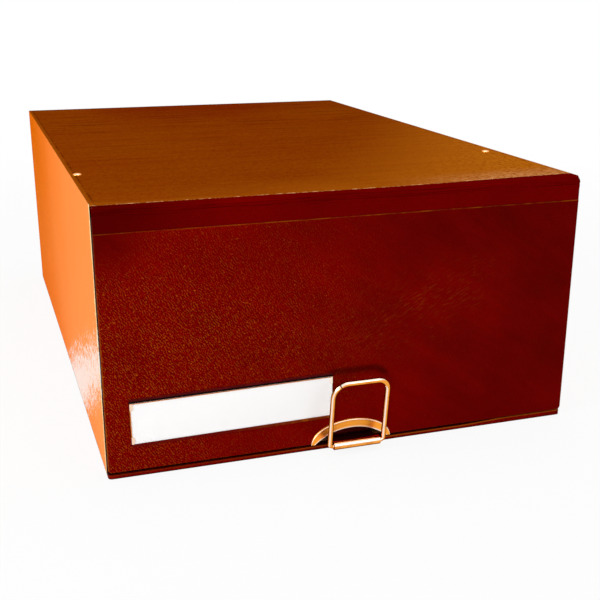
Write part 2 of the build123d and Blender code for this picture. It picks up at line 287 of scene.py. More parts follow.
def new_object(name, data):
    """A new object in the scene."""
    thing = bpy.data.objects.new(name, data)
    bpy.context.scene.collection.objects.link(thing)
    return thing


def merged_node(node):
    """A CAD node's triangles, merged, with its flat faces joined."""
    shape = bmesh.new()
    shape.from_mesh(frame["nodes"][node].data)
    bmesh.ops.remove_doubles(shape, verts=shape.verts, dist=MERGE_GAP)
    bmesh.ops.dissolve_limit(shape, angle_limit=FLAT_ANGLE, verts=shape.verts, edges=shape.edges)
    return shape


def sharp_edges(shape):
    """The edges at which the surface turns sharply."""
    joined = [edge for edge in shape.edges if len(edge.link_faces) == 2]
    return [edge for edge in joined if edge.calc_face_angle() > SHARP_ANGLE]


def round_edges(shape, edges, width, steps):
    """Rounds some of a shape's edges."""
    if edges and width > 0:
        bmesh.ops.bevel(
            shape, geom=edges, offset=width, segments=steps, profile=0.5, affect="EDGES", clamp_overlap=True
        )


def softened_node(node, narrow, wide=0.0, is_wide=None):
    """A CAD node's shape with its covered edges rounded wide and its other sharp edges slightly."""
    shape = merged_node(node)
    if is_wide:
        round_edges(shape, [edge for edge in sharp_edges(shape) if is_wide(edge)], wide, 4)
    round_edges(shape, sharp_edges(shape), narrow, 2)
    return shape


def grid(rows, lengths=None):
    """A surface over rows of points. Its UV map holds the lengths along rows and columns, in metres."""
    shape = bmesh.new()
    points = [[shape.verts.new(point) for point in row] for row in rows]
    chart = shape.loops.layers.uv.new("cloth") if lengths else None
    for i in range(len(rows) - 1):
        for j in range(len(rows[0]) - 1):
            corners = [(i, j), (i + 1, j), (i + 1, j + 1), (i, j + 1)]
            face = shape.faces.new([points[a][b] for a, b in corners])
            if chart:
                for loop, (a, b) in zip(face.loops, corners):
                    loop[chart].uv = (lengths[1][b], lengths[0][a])
    return shape


def swept(across, path):
    """A surface that runs along X at each Y and Z of a path."""
    return grid([[(x, y, z) for x in across] for y, z in path])


def applied(holder, name):
    """A plain mesh of an object with its modifiers applied. The object goes."""
    graph = bpy.context.evaluated_depsgraph_get()
    mesh = bpy.data.meshes.new_from_object(holder.evaluated_get(graph))
    mesh.name = name
    bpy.data.objects.remove(holder)
    return mesh


def finished_mesh(name, shape, thickness=0.0, offset=-1.0, edge_round=0.0, even=True):
    """A plain mesh from a shape, with its thickness and rounded edges applied and its flats shaded flat."""
    raw = bpy.data.meshes.new(name + "_raw")
    shape.to_mesh(raw)
    shape.free()
    raw.shade_smooth()
    holder = new_object(name + "_raw", raw)
    if thickness:
        wall = holder.modifiers.new("wall", "SOLIDIFY")
        wall.thickness = thickness
        wall.offset = offset
        wall.use_even_offset = even
    if edge_round:
        rounding = holder.modifiers.new("round", "BEVEL")
        rounding.width = edge_round
        rounding.segments = 2
        rounding.limit_method = "ANGLE"
        rounding.angle_limit = CUT_ANGLE
    weighting = holder.modifiers.new("flats", "WEIGHTED_NORMAL")
    weighting.weight = 100
    weighting.keep_sharp = False
    mesh = applied(holder, name)
    bpy.data.meshes.remove(raw)
    return mesh


def mark(mesh, name, share_at):
    """Stores a share from none to all for each vertex of a mesh."""
    shares = mesh.attributes.new(name, "FLOAT", "POINT")
    shares.data.foreach_set("value", [share_at(vertex) for vertex in mesh.vertices])


def place_piece(name, mesh, material, body, nodes):
    """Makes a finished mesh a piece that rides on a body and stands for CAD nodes."""
    piece = new_object(name, mesh)
    mesh.materials.clear()
    mesh.materials.append(material)
    if body:
        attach(piece, body)
    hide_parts(*nodes)
    return piece


def finish_faces(piece, material, is_other):
    """Gives some of a piece's faces a second finish."""
    piece.data.materials.append(material)
    for face in piece.data.polygons:
        face.material_index = int(is_other(face))


def label_middle():
    """The middle of the label card."""
    low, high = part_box("label_card")
    return (low + high) / 2


def label_span():
    """Left, right, bottom and top of the label card before it is set askew."""
    middle = label_middle()
    half_length = sizes().card_length / 2
    half_height = sizes().card_height / 2
    return middle.x - half_length, middle.x + half_length, middle.z - half_height, middle.z + half_height


def set_askew(mesh):
    """Turns a mesh of the label about the middle of its card, as it sits on the flap."""
    middle = Matrix.Translation(label_middle())
    mesh.transform(middle @ Matrix.Rotation(-sizes().label_tilt, 4, "Y") @ middle.inverted())


# Nodes

VECTOR = "NodeSocketVector"
NUMBER = "NodeSocketFloat"
GEOMETRY = "NodeSocketGeometry"


def shaded(colour, share):
    """A lighter or darker shade of a colour."""
    return [share * part for part in colour]


def opaque(colour):
    """A colour with full alpha."""
    return (*colour, 1.0)


def bare_tree(holder):
    """The emptied node tree of a material or a world."""
    holder.use_nodes = True
    holder.node_tree.nodes.clear()
    return holder.node_tree


class Value:
    """A node's output. Arithmetic with numbers and other values adds nodes."""

    def __init__(self, bench, socket):
        self.bench = bench
        self.socket = socket

    def __add__(self, other):
        return self.bench.math("ADD", self, other)

    def __sub__(self, other):
        return self.bench.math("SUBTRACT", self, other)

    def __rsub__(self, other):
        return self.bench.math("SUBTRACT", other, self)

    def __mul__(self, other):
        return self.bench.math("MULTIPLY", self, other)

    def __truediv__(self, other):
        return self.bench.math("DIVIDE", self, other)

    def __rtruediv__(self, other):
        return self.bench.math("DIVIDE", other, self)

    def __abs__(self):
        return self.bench.math("ABSOLUTE", self)

    def most(self, other):
        """The greater of two numbers."""
        return self.bench.math("MAXIMUM", self, other)

    def least(self, other):
        """The smaller of two numbers."""
        return self.bench.math("MINIMUM", self, other)

    def step(self, low, high, start=0.0, end=1.0):
        """A soft step from start at low to end at high."""
        given = {"Value": self, "From Min": low, "From Max": high, "To Min": start, "To Max": end}
        return self.bench.out("ShaderNodeMapRange", "Result", given, interpolation_type="SMOOTHSTEP")

    def step_mm(self, low, high, start=0.0, end=1.0):
        """A soft step between two places in millimetres."""
        return self.step(low * MM, high * MM, start, end)


class Bench:
    """Adds nodes to one tree and links them."""

    def __init__(self, tree):
        self.tree = tree

    def feed(self, socket, value):
        """Links a socket or sets its value."""
        if isinstance(value, Value):
            self.tree.links.new(value.socket, socket)
        else:
            socket.default_value = value

    def add(self, kind, inputs=None, **settings):
        """A new node with its settings and inputs."""
        node = self.tree.nodes.new(kind)
        for name, value in settings.items():
            setattr(node, name, value)
        for name, value in (inputs or {}).items():
            self.feed(node.inputs[name], value)
        return node

    def out(self, kind, output, inputs=None, **settings):
        """One output of a new node."""
        return Value(self, self.add(kind, inputs, **settings).outputs[output])

    def math(self, operation, first, second=0.0):
        """A number from two numbers."""
        return self.out("ShaderNodeMath", 0, {0: first, 1: second}, operation=operation)

    def vector(self, operation, first, second):
        """A vector from two vectors."""
        return self.out("ShaderNodeVectorMath", "Vector", {0: first, 1: second}, operation=operation)

    def scaled(self, vector, factor):
        """A vector times a number."""
        return self.out("ShaderNodeVectorMath", "Vector", {0: vector, "Scale": factor}, operation="SCALE")

    def parts(self, vector):
        """The X, Y and Z of a vector."""
        return [Value(self, part) for part in self.add("ShaderNodeSeparateXYZ", {0: vector}).outputs]

    def joined(self, x, y, z):
        """A vector from X, Y and Z."""
        return self.out("ShaderNodeCombineXYZ", 0, {0: x, 1: y, 2: z})

    def far(self, x, y):
        """The distance over two lengths at right angles."""
        return self.out("ShaderNodeVectorMath", "Value", {0: self.joined(x, y, 0.0)}, operation="LENGTH")

    def mix(self, factor, first, second):
        """A colour between two colours."""
        ends = [end if isinstance(end, Value) else opaque(end) for end in (first, second)]
        return self.out("ShaderNodeMix", 2, {0: factor, 6: ends[0], 7: ends[1]}, data_type="RGBA")

    def noise(self, vector, scale, detail=2.0, rough=0.5):
        """Cloudy noise from 0 to 1."""
        given = {"Vector": vector, "Scale": scale, "Detail": detail, "Roughness": rough}
        return self.out("ShaderNodeTexNoise", "Fac", given)

    def stretched(self, vector, turn, cell):
        """A vector measured in cells of a size along turned axes."""
        given = {"Vector": vector, "Rotation": turn, "Scale": self.joined(*cell)}
        return self.out("ShaderNodeMapping", "Vector", given, vector_type="TEXTURE")

    def streaks(self, vector, turn, cell, detail=2.0, rough=0.5):
        """Noise drawn out to cells of a size along turned axes."""
        return self.noise(self.stretched(vector, turn, cell), 1.0, detail, rough)


class Group(Bench):
    """A node group with named inputs."""

    def __init__(self, name, kind, inputs):
        super().__init__(bpy.data.node_groups.new(name, kind))
        self.names = {}
        for label, socket in inputs.items():
            made = self.tree.interface.new_socket(label, in_out="INPUT", socket_type=socket)
            self.names[label] = made.identifier
        outputs = self.add("NodeGroupInput").outputs
        self.given = [Value(self, outputs[label]) for label in inputs]


class Effect(Group):
    """A shader node group that gives out numbers."""

    def __init__(self, name, **inputs):
        super().__init__(name, "ShaderNodeTree", {"Vector": VECTOR, **inputs})

    def close(self, **results):
        """Ends the group with its results."""
        for label in results:
            self.tree.interface.new_socket(label, in_out="OUTPUT", socket_type=NUMBER)
        self.add("NodeGroupOutput", results)
        return self.tree


class Finish(Bench):
    """A new material, whose colour is laid on in coats."""

    def __init__(self, name):
        self.material = bpy.data.materials.new(name)
        super().__init__(bare_tree(self.material))
        self.shader = self.add("ShaderNodeBsdfPrincipled")
        self.add("ShaderNodeOutputMaterial", {"Surface": Value(self, self.shader.outputs["BSDF"])})
        self.place = self.out("ShaderNodeTexCoord", "Object")
        self.colour = None

    def effect(self, maker, **inputs):
        """The outputs of a shared effect, which is made when it is first asked for."""
        tree = bpy.data.node_groups.get(maker.__name__) or maker(maker.__name__)
        node = self.add("ShaderNodeGroup", {"Vector": self.place, **inputs}, node_tree=tree)
        return {socket.name: Value(self, socket) for socket in node.outputs}

    def rubbed(self, low, high, width):
        """The rubbed edges of a box-shaped piece."""
        return self.effect(edge_rub, Low=low, High=high, Width=width)["Rubbed"]

    def marked(self, name):
        """A share that is stored on the mesh."""
        return self.out("ShaderNodeAttribute", "Fac", attribute_name=name)

    def ground(self, factor, first, second):
        """Starts with a colour between two colours."""
        self.colour = self.mix(factor, first, second)

    def coat(self, mask, colour):
        """Lays a colour over what is there."""
        self.colour = self.mix(mask, self.colour, colour)

    def close(self, roughness, height, depth, strength, more):
        """Feeds the shader its colour, roughness, relief and more inputs, and gives the material."""
        relief = {"Height": height, "Distance": depth, "Strength": strength}
        normal = self.out("ShaderNodeBump", "Normal", relief)
        given = {"Base Color": self.colour, "Roughness": roughness, "Normal": normal, **more}
        for name, value in given.items():
            self.feed(self.shader.inputs[name], value)
        return self.material

    def close_leather(self, height, rough, strength, level, more=None):
        """Ends a leather-grain sheet, which is duller in its valleys."""
        dull = height.step(0.1, 1.1, *rough)
        given = {**warm_gloss(level), **(more or {})}
        return self.close(dull, height, finishes().grain_depth, strength, given)


def warm_gloss(level):
    """Warm, low gloss of leather-grain sheets and book cloth."""
    return {"Specular IOR Level": level, "Specular Tint": opaque(finishes().leather_glint)}


def finish(maker):
    """The material that a maker gives, made when it is first asked for."""
    name = maker.__name__ + "_finish"
    return bpy.data.materials.get(name) or maker(name)


# Effects that finishes share


def leather_grain(name):
    """Pebbled grain that wavers, as a height."""
    effect = Effect(name, Pitch=NUMBER, Stretch=NUMBER, Turn=VECTOR)
    place, pitch, stretch, turn = effect.given
    sway = effect.out("ShaderNodeTexNoise", "Color", {"Vector": place, "Scale": 0.07 / pitch, "Detail": 1.0})
    lean = effect.vector("SUBTRACT", sway, (0.5, 0.5, 0.5))
    moved = effect.vector("ADD", place, effect.scaled(lean, pitch * 7.0))
    cells = effect.stretched(moved, turn, (pitch * stretch, pitch, pitch))
    far = effect.out("ShaderNodeTexVoronoi", "Distance", {"Vector": cells, "Scale": 1.0, "Randomness": 0.9})
    return effect.close(Height=far.step(0.80, 0.12) + effect.noise(cells, 3.1, 3.0, 0.6) * 0.35)


def long_grain(name):
    """Long-grained leather: short ridges that lie one way, a pitch apart."""
    effect = Effect(name, Pitch=NUMBER, Length=NUMBER, Turn=NUMBER)
    place, pitch, length, turn = effect.given
    x, _, z = effect.parts(place)
    given = {
        "Vector": effect.joined(x, z, 0.0),
        "Scale": 1.0 / length,
        "Frequency": length / pitch,
        "Anisotropy": 0.8,
        "Orientation": turn,
    }
    ridges = effect.out("ShaderNodeTexGabor", "Value", given, gabor_type="2D")
    height = ridges + (effect.noise(place, 2.4 / pitch, 0.0) - 0.5) * 0.7
    return effect.close(Ridge=height.step(0.57, 0.76), Height=height.step(0.2, 0.8))


def tone_drift(name):
    """Slow clouds, long streaks and fine specks of tone."""
    effect = Effect(name, Size=NUMBER, Length=NUMBER, Width=NUMBER, Turn=VECTOR)
    place, size, length, width, turn = effect.given
    return effect.close(
        Cloud=effect.noise(place, 1.0 / size, 3.0, 0.55).step(0.3, 0.7),
        Streak=effect.streaks(place, turn, (length, width, width), 4.0, 0.6).step(0.32, 0.68),
        Speck=effect.noise(place, 1900.0, 2.0, 0.7),
    )


def edge_rub(name):
    """Rubbed edges of a box-shaped piece, in a band that is broken up into patches."""
    effect = Effect(name, Low=VECTOR, High=VECTOR, Width=NUMBER)
    place, low, high, width = effect.given
    inside = effect.vector("SUBTRACT", place, low)
    outside = effect.vector("SUBTRACT", high, place)
    x, y, z = effect.parts(effect.vector("MINIMUM", inside, outside))
    second = x.least(y).most(x.most(y).least(z))
    patches = effect.noise(place, 420.0, 4.0, 0.7).step(0.42, 0.62)
    return effect.close(Rubbed=(second / width).step(1.0, 0.2) * patches)


def paper_fibre(name):
    """Felted fibres of paper and board: their height and scattered darker fibres."""
    effect = Effect(name, Fibre=NUMBER)
    place, fibre = effect.given
    turns = ((0.3, 0.5, 0.4), (1.1, 0.2, 1.9))
    first, second = [effect.streaks(place, turn, (fibre * 7.0, fibre, fibre), 3.0, 0.6) for turn in turns]
    return effect.close(Height=first + second, Fibres=first.most(second).step(0.60, 0.74))


def plating(name):
    """Plated metal: worn clouds, fine draw lines and their height."""
    effect = Effect(name)
    place = effect.given[0]
    lines = effect.streaks(place, LEVEL, (6 * MM, 0.12 * MM, 0.12 * MM), 2.0, 0.6)
    return effect.close(
        Worn=effect.noise(place, 230.0, 4.0, 0.62).step(0.46, 0.66),
        Lines=lines,
        Height=lines + effect.noise(place, 900.0, 3.0, 0.6),
    )


# Finishes


def flap_leather(name):
    """Maroon long-grained sheet, with painted gold highlights on its ridges over its left part, painted
    shadows and worn edges.
    """
    sheet = Finish(name)
    looks = finishes()
    gold, shade, place = looks.fleck_gold, looks.flap_shade, sheet.place
    x, y, z = sheet.parts(place)
    lean = math.radians(90 - GRAIN_TURN)
    grain = sheet.effect(long_grain, Pitch=looks.flap_pitch, Length=looks.flap_ridge, Turn=lean)
    drift = sheet.effect(tone_drift, Size=45 * MM, Length=60 * MM, Width=9 * MM, Turn=(0, 0.6, 0))

    # Ground, lighter towards the left as painted light from the left, darker towards the top and in the
    # upper left corner
    corner = z.step_mm(90, 114) * x.step_mm(-88, -117)
    tone = drift["Cloud"] * 0.3 + drift["Streak"] * 0.2
    tone = tone + x.step_mm(120, -60, 0.0, 0.5) + x.step_mm(-25, -105, 0.0, 0.28)
    tone = tone - corner * 0.85 - z.step_mm(82, 116, 0.0, 0.14)
    sheet.ground(tone, shade, looks.flap_maroon)

    # Painted gold highlights on the ridges, painted shade in the valleys and painted glints, spread over the
    # left part, the side the light comes from, and fewer under the label
    spread = x.step_mm(40, -100, 0.03, 1.0) * (1.0 - corner) * z.step_mm(120, 60, 0.34, 1.0)
    spread = spread * sheet.noise(place, 60.0, 1.0).step(0.32, 0.66, 0.85, 1.1)
    under_label = z.step_mm(28, 20) * x.step_mm(-100, -62, 0.0, 0.6)
    spread = spread * (1.0 - under_label)
    sheet.coat(grain["Ridge"] * spread * looks.fleck_share, gold)
    valleys = grain["Height"].step(0.55, 0.15) * spread.step(0.0, 0.6, 0.1, 0.6)
    sheet.coat(valleys, shaded(shade, 0.55))
    glints = sheet.noise(place, 1100.0, 0.0).step(0.76, 0.85, 0.0, 0.6)
    sheet.coat(glints * spread, shaded(gold, 1.6))

    # Painted shadow of the bail: a faint dark arch above it on the sheet
    beside = (abs(x - 2 * MM) - 9 * MM).most(0.0)
    above = (z - 33 * MM).most(0.0)
    off_shadow = abs(sheet.far(beside, above) - 8 * MM)
    sheet.coat(off_shadow.step_mm(2.8, 0.5, 0.0, 0.75) * z.step_mm(34, 39), shaded(shade, 0.5))

    # Scratches round a spot right of the middle, and specks
    lines = sheet.streaks(place, (0, -0.42, 0), (4 * MM, 3 * MM, 0.36 * MM), 1.0)
    aside = x - 26 * MM
    aloft = z - 66 * MM - aside * 0.3
    from_spot = sheet.far(aside / (72 * MM), aloft / (30 * MM))
    patchy = sheet.noise(place, 70.0, 2.0).step(0.36, 0.64, 0.3, 1.0)
    scratches = lines.step(0.56, 0.76, 0.0, 0.30) * from_spot.step(1.1, 0.1) * patchy
    specks = sheet.noise(place, 640.0, 1.0).step(0.79, 0.86, 0.0, 0.5) * x.step_mm(-20, 30)
    sheet.coat(scratches.most(specks), gold)

    # Worn edges; a gold line along the cut edge by the cloth and gold dots at the corners, each painted
    # highlight on wear; and the turned-in sides painted dark as shadow in the gap beside the case
    edges = sheet.rubbed((-HALF_WIDTH, FRONT, FLAP_LOW), (HALF_WIDTH, FLAP_INSIDE, STRIP_LOW), 0.6 * MM)
    sheet.coat(edges * z.step(STRIP_LOW - 2 * MM, STRIP_LOW - 1 * MM, 0.30, 0.12), gold)
    dashes = sheet.streaks(place, LEVEL, (9 * MM, 3 * MM, 3 * MM), 3.0).step(0.35, 0.62, 0.05, 0.55)
    at_top = z.step(STRIP_LOW - 0.6 * MM, STRIP_LOW - 0.35 * MM) * dashes
    sheet.coat(at_top * x.step_mm(-100, -20, 0.5, 1.0), gold)
    behind = y - FRONT
    sideways = HALF_WIDTH - abs(x)
    at_corner = sideways.step_mm(0.75, 0.3) * behind.step_mm(0.45, 0.25)
    dots = sheet.noise(place, 480.0, 3.0, 0.7).step(0.40, 0.58, 0.25, 1.0)
    sheet.coat(at_corner * dots * z.step_mm(110, 50, 0.05, 0.7), gold)
    side_shadow = sideways.step_mm(0.45, 0.2) * behind.step_mm(0.4, 0.7)
    sheet.coat(side_shadow * behind.step_mm(0.4, 4.0, 0.88, 0.98), shaded(shade, 0.02))
    return sheet.close_leather(grain["Height"], (0.62, 0.45), 0.6, 0.01)


def sill_leather(name):
    """The flap's sheet on the sill, rubbed to gold along its edges, most at the right."""
    sheet = Finish(name)
    looks = finishes()
    low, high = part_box("sill_strip")
    x, y, z = sheet.parts(sheet.place)
    grain = sheet.effect(leather_grain, Pitch=looks.grain_pitch, Stretch=2.0, Turn=(0, 0.3, 0))["Height"]
    sheet.ground(grain, looks.flap_shade, looks.flap_maroon)
    sheet.coat(sheet.rubbed(low, high, 0.8 * MM) * 0.4, looks.fleck_gold)
    # A gold line along the sill's top, and painted shade: the shadow under the flap's edge over the sill's
    # top, and a darker band along its bottom by the floor
    shade_from = x.step_mm(60, 95, high.z - 0.6 * MM, high.z + 0.5 * MM)
    off_line = abs(z - (shade_from - 0.45 * MM))
    sheet.coat(off_line.step_mm(0.42, 0.18) * x.step_mm(-70, 20, 0.15, 0.75), looks.fleck_gold)
    painted_shade = (z - shade_from).step_mm(-0.15, 0.15, 0.0, 0.92).most(z.step_mm(0.55, 0.3, 0.0, 0.8))
    sheet.coat(painted_shade * y.step(WALL_FRONT, WALL_FRONT - 1 * MM), shaded(looks.flap_shade, 0.05))
    return sheet.close_leather(grain, (0.62, 0.45), 0.6, 0.02)


def hinge_cloth(name):
    """Smooth maroon book cloth with faint threads and creases pressed along the lid's edge, painted as dark
    lines of shade and light lines of highlight.
    """
    cloth = Finish(name)
    looks = finishes()
    maroon = looks.cloth_maroon
    chart = cloth.out("ShaderNodeUVMap", "UV", uv_map="cloth")
    x, _, z = cloth.parts(cloth.place)
    cells = ((5.0 * MM, 0.30 * MM, 1.0), (0.3 * MM, 1.8 * MM, 1.0), (45 * MM, 0.5 * MM, 1.0))
    threads, knots, creases = [cloth.streaks(chart, LEVEL, cell, 2.0, 0.6) for cell in cells]
    weave = threads + knots * 0.6
    clouds = cloth.noise(chart, 22.0, 3.0).step(0.3, 0.7, 0.0, 0.3)
    cloth.ground(clouds + x.step_mm(-125, -60, 0.0, 0.7), shaded(maroon, 0.66), shaded(maroon, 1.42))
    cloth.coat(threads.step(0.35, 0.70, 0.26, 0.0), shaded(maroon, 0.6))
    # Painted shade and highlight of the creases: dark lines and lighter lines in a band below the lid's edge
    pressed = abs(z - (CASE_TOP - 2.6 * MM)).step_mm(2.8, 1.2)
    cloth.coat(pressed * creases.step(0.50, 0.62, 0.0, 0.7), shaded(maroon, 0.4))
    cloth.coat(pressed * creases.step(0.44, 0.34, 0.0, 0.5), looks.flap_maroon)
    # Pale dots along the cut edge on the lid, painted highlight on wear
    dots = cloth.noise(chart, 620.0, 3.0, 0.7).step(0.46, 0.60)
    cloth.coat(cloth.marked("rubbed") * dots, looks.worn_edge)
    return cloth.close(weave.step(0.4, 1.2, 0.62, 0.5), weave, 0.05 * MM, 0.7, warm_gloss(0.0))


def lid_leather(name):
    """Brown sheet with streaks along the width, with a painted golden sheen towards the front right."""
    sheet = Finish(name)
    looks = finishes()
    place = sheet.place
    x, y, z = sheet.parts(place)
    grain = sheet.effect(leather_grain, Pitch=looks.grain_pitch, Stretch=1.6, Turn=(0, 0, 0.2))["Height"]
    drift = sheet.effect(tone_drift, Size=90 * MM, Length=130 * MM, Width=7 * MM, Turn=(0, 0, 0.03))

    # Ground, redder towards the middle of the back, with darker lines
    tones = drift["Streak"] * 0.2 + drift["Cloud"] * 0.2 + grain.step(0.1, 1.1, 0.05, 0.35)
    tones = tones + sheet.noise(place, 430.0, 3.0, 0.7).step(0.3, 0.7, 0.0, 0.45)
    rear = y.step_mm(40, 178, 0.0, 0.6) * abs(x).step_mm(105, 25)
    sheet.ground(tones - rear, looks.lid_shade, looks.lid_brown)
    lines = sheet.streaks(place, (0, 0, 0.02), (60 * MM, 3.2 * MM, 3.2 * MM), 3.0).step(0.55, 0.66)
    sheet.coat(lines * y.step_mm(-150, 120, 0.15, 0.7), shaded(looks.lid_shade, 0.62))

    # Painted sheen: gold at the front right and along the cloth, mottled, and a painted pale highlight by
    # the right edge
    golden = (x - y * 0.55).step_mm(55, 205) * drift["Streak"].step(0.0, 1.0, 0.88, 1.0)
    covered = x.step(OVERLAP_FROM, OVERLAP_TO, sizes().overlap_left, sizes().overlap_right)
    edging = y - LID_FRONT - covered
    band = edging.step_mm(45, 0, 0.0, x.step_mm(-115, 40, 0.05, 0.38))
    sheet.coat(golden.most(band.most(edging.step_mm(11, 2, 0.0, 0.24))), looks.lid_gold)
    fine = sheet.streaks(place, (0, 0, 0.02), (2.6 * MM, 1.3 * MM, 1.3 * MM), 2.0, 0.7)
    sheet.coat(fine.step(0.52, 0.38, 0.0, 0.85) * golden, looks.lid_brown)
    pale_highlight = edging.step_mm(26, 0, 0.0, 0.7) * x.step_mm(15, 100)
    sheet.coat(pale_highlight * fine.step(0.40, 0.64, 0.15, 1.0), looks.lid_pale)
    sheet.coat(drift["Speck"].step(0.56, 0.74, 0.0, 0.22), looks.fleck_gold)

    # Side sheets turned over the lid, their seams, the worn edges, and pale dots along the cloth's cut edge,
    # painted highlight on wear
    at_top = z.step(CASE_TOP - 0.5 * MM, CASE_TOP - 0.2 * MM)
    sideways = HALF_WIDTH - abs(x)
    sheet.coat(sideways.step_mm(2.3, 2.0, 0.0, 0.16) * at_top, looks.lid_gold)
    broken = sheet.noise(place, 110.0, 3.0, 0.7).step(0.40, 0.62, 0.05, 0.6)
    seams = abs(sideways - 2.5 * MM).step_mm(0.7, 0.3) * broken
    seams = seams.most(y.step(BACK - 4 * MM, BACK - 2 * MM, 0.0, 0.8))
    sheet.coat(seams * at_top, shaded(looks.lid_shade, 0.4))
    dots = sheet.noise(place, 300.0, 2.0, 0.7).step(0.50, 0.62, 0.0, 0.85)
    sheet.coat(dots * edging.step_mm(2.2, 0.8), looks.worn_edge)
    edges = sheet.rubbed((-HALF_WIDTH, LID_FRONT, 0), (HALF_WIDTH, BACK, CASE_TOP), 1.2 * MM)
    sheet.coat(edges * 0.25, looks.lid_gold)
    return sheet.close_leather(grain, (0.70, 0.52), 0.5, 0.0)


def side_leather(name):
    """Orange-tan sheet, painted as the lit side, with fine speckle, and a painted pale highlight under real
    coat gloss low at the front of the left side.
    """
    sheet = Finish(name)
    looks = finishes()
    place = sheet.place
    x, y, z = sheet.parts(place)
    sideways = (0.4, 0, math.pi / 2)
    grain = sheet.effect(leather_grain, Pitch=looks.grain_pitch, Stretch=1.3, Turn=sideways)["Height"]
    drift = sheet.effect(tone_drift, Size=80 * MM, Length=90 * MM, Width=12 * MM, Turn=(0, 0, math.pi / 2))

    # Ground, deeper towards the back and the top, with specks, soil and worn edges
    toward_back = y.step_mm(-170, 180)
    tone = toward_back * 0.75 + z.step_mm(30, 130) * 0.2 + drift["Cloud"] * 0.12
    sheet.ground(tone, looks.side_tan, looks.side_shade)
    specks = drift["Speck"].step(0.58, 0.70) * toward_back.step(0.1, 1.0, 0.08, 0.5)
    sheet.coat(specks, looks.fleck_gold)
    dashes = sheet.streaks(place, LEVEL, (0.7 * MM, 3.5 * MM, 0.7 * MM), 2.0, 0.7)
    far_up = y.step_mm(-40, 175) * z.step_mm(0, 120, 0.35, 1.0)
    sheet.coat(dashes.step(0.42, 0.62, 0.15, 0.75) * far_up * 0.6, looks.fleck_gold)
    edges = sheet.rubbed((-HALF_WIDTH, WALL_FRONT, 0), (HALF_WIDTH, BACK, CASE_TOP), 1.0 * MM)
    sheet.coat(edges * 0.35, looks.lid_brown)

    # Painted highlight: a pale patch with a ragged outline, where the coat also adds real gloss; and the
    # frayed front edge, painted cream as a highlight on wear
    inward = y - WALL_FRONT
    ragged = sheet.noise(place, 260.0, 5.0, 0.8).step(0.3, 0.7, -14 * MM, 14 * MM)
    off_middle = abs(z + inward * 0.45 + ragged - 56 * MM)
    beyond = off_middle - inward.step_mm(0, 125, 8 * MM, 15 * MM)
    at_end = (HALF_WIDTH - abs(x)).step_mm(0.6, 0.95)
    on_left = x.step_mm(1, -1) * (1.0 - at_end)
    sheet.coat(beyond.step_mm(12, -7, 0.0, 0.45) * on_left, looks.side_pale)
    frayed = inward + ragged * 0.16
    sheet.coat(frayed.step_mm(6.0, 3.6, 0.0, 0.8), looks.side_cream)
    # Painted shadow of the gap by the flap: a dark band along the front edge
    sheet.coat(inward.step_mm(2.4, 1.6), shaded(looks.flap_shade, 0.1))

    # Brown where the sheet turns in
    sheet.coat(at_end, sheet.mix(grain.step(0.1, 1.1), looks.lid_shade, looks.lid_brown))
    polish = {"Coat Weight": beyond.step_mm(5, -2) * on_left, "Coat Roughness": 0.04, "Coat IOR": 1.6}
    return sheet.close_leather(grain, (0.66, 0.50), 0.35, 0.0, polish)


def base_sheet(name):
    """Dark brown covering paper under the case, scuffed along its edges."""
    sheet = Finish(name)
    looks = finishes()
    low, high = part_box("bottom_cover")
    felt = sheet.effect(paper_fibre, Fibre=0.25 * MM)["Height"]
    clouds = sheet.noise(sheet.place, 26.0, 4.0).step(0.35, 0.65)
    sheet.ground(clouds, shaded(looks.base_brown, 0.8), shaded(looks.base_brown, 1.35))
    sheet.coat(sheet.rubbed(low, high, 5 * MM) * 0.6, looks.board_brown)
    return sheet.close(felt.step(0.7, 1.3, 0.85, 0.7), felt, 0.04 * MM, 0.6, {"Specular IOR Level": 0.2})


def felted(name, colour, fibre, depth, contrast):
    """Paper or board with felted fibres, in lighter and darker clouds of one colour."""
    sheet = Finish(name)
    felt = sheet.effect(paper_fibre, Fibre=fibre)
    clouds = sheet.noise(sheet.place, 16.0, 4.0).step(0.3, 0.7)
    sheet.ground(clouds, shaded(colour, 1 - 0.4 * contrast), colour)
    sheet.coat(felt["Fibres"] * 0.5, shaded(colour, 1 - contrast))
    rough = felt["Height"].step(0.7, 1.3, 0.88, 0.74)
    return sheet.close(rough, felt["Height"], depth, 0.5, {"Specular IOR Level": 0.25})


def lining_paper(name):
    """Buff lining paper."""
    return felted(name, finishes().lining_buff, 0.22 * MM, 0.04 * MM, 0.28)


def pressed_board(name):
    """Brown pressed board."""
    return felted(name, finishes().board_brown, 0.35 * MM, 0.08 * MM, 0.45)


def card_paper(name):
    """White card with hardly visible fibres."""
    return felted(name, finishes().card_white, 0.12 * MM, 0.012 * MM, 0.03)


def sawn_wood(name):
    """Plain sawn panel with straight grain along its length."""
    panel = Finish(name)
    tan = finishes().wood_tan
    lines = panel.stretched(panel.place, (0, 0, math.pi / 2), (60 * MM, 1.1 * MM, 1.1 * MM))
    grain = panel.noise(lines, 1.0, 5.0, 0.62)
    rings = panel.noise(lines, 0.23, 2.0).step(0.40, 0.62)
    panel.ground(rings * grain, tan, shaded(tan, 0.55))
    return panel.close(grain.step(0.3, 0.7, 0.8, 0.62), grain, 0.08 * MM, 0.5, {"Specular IOR Level": 0.3})


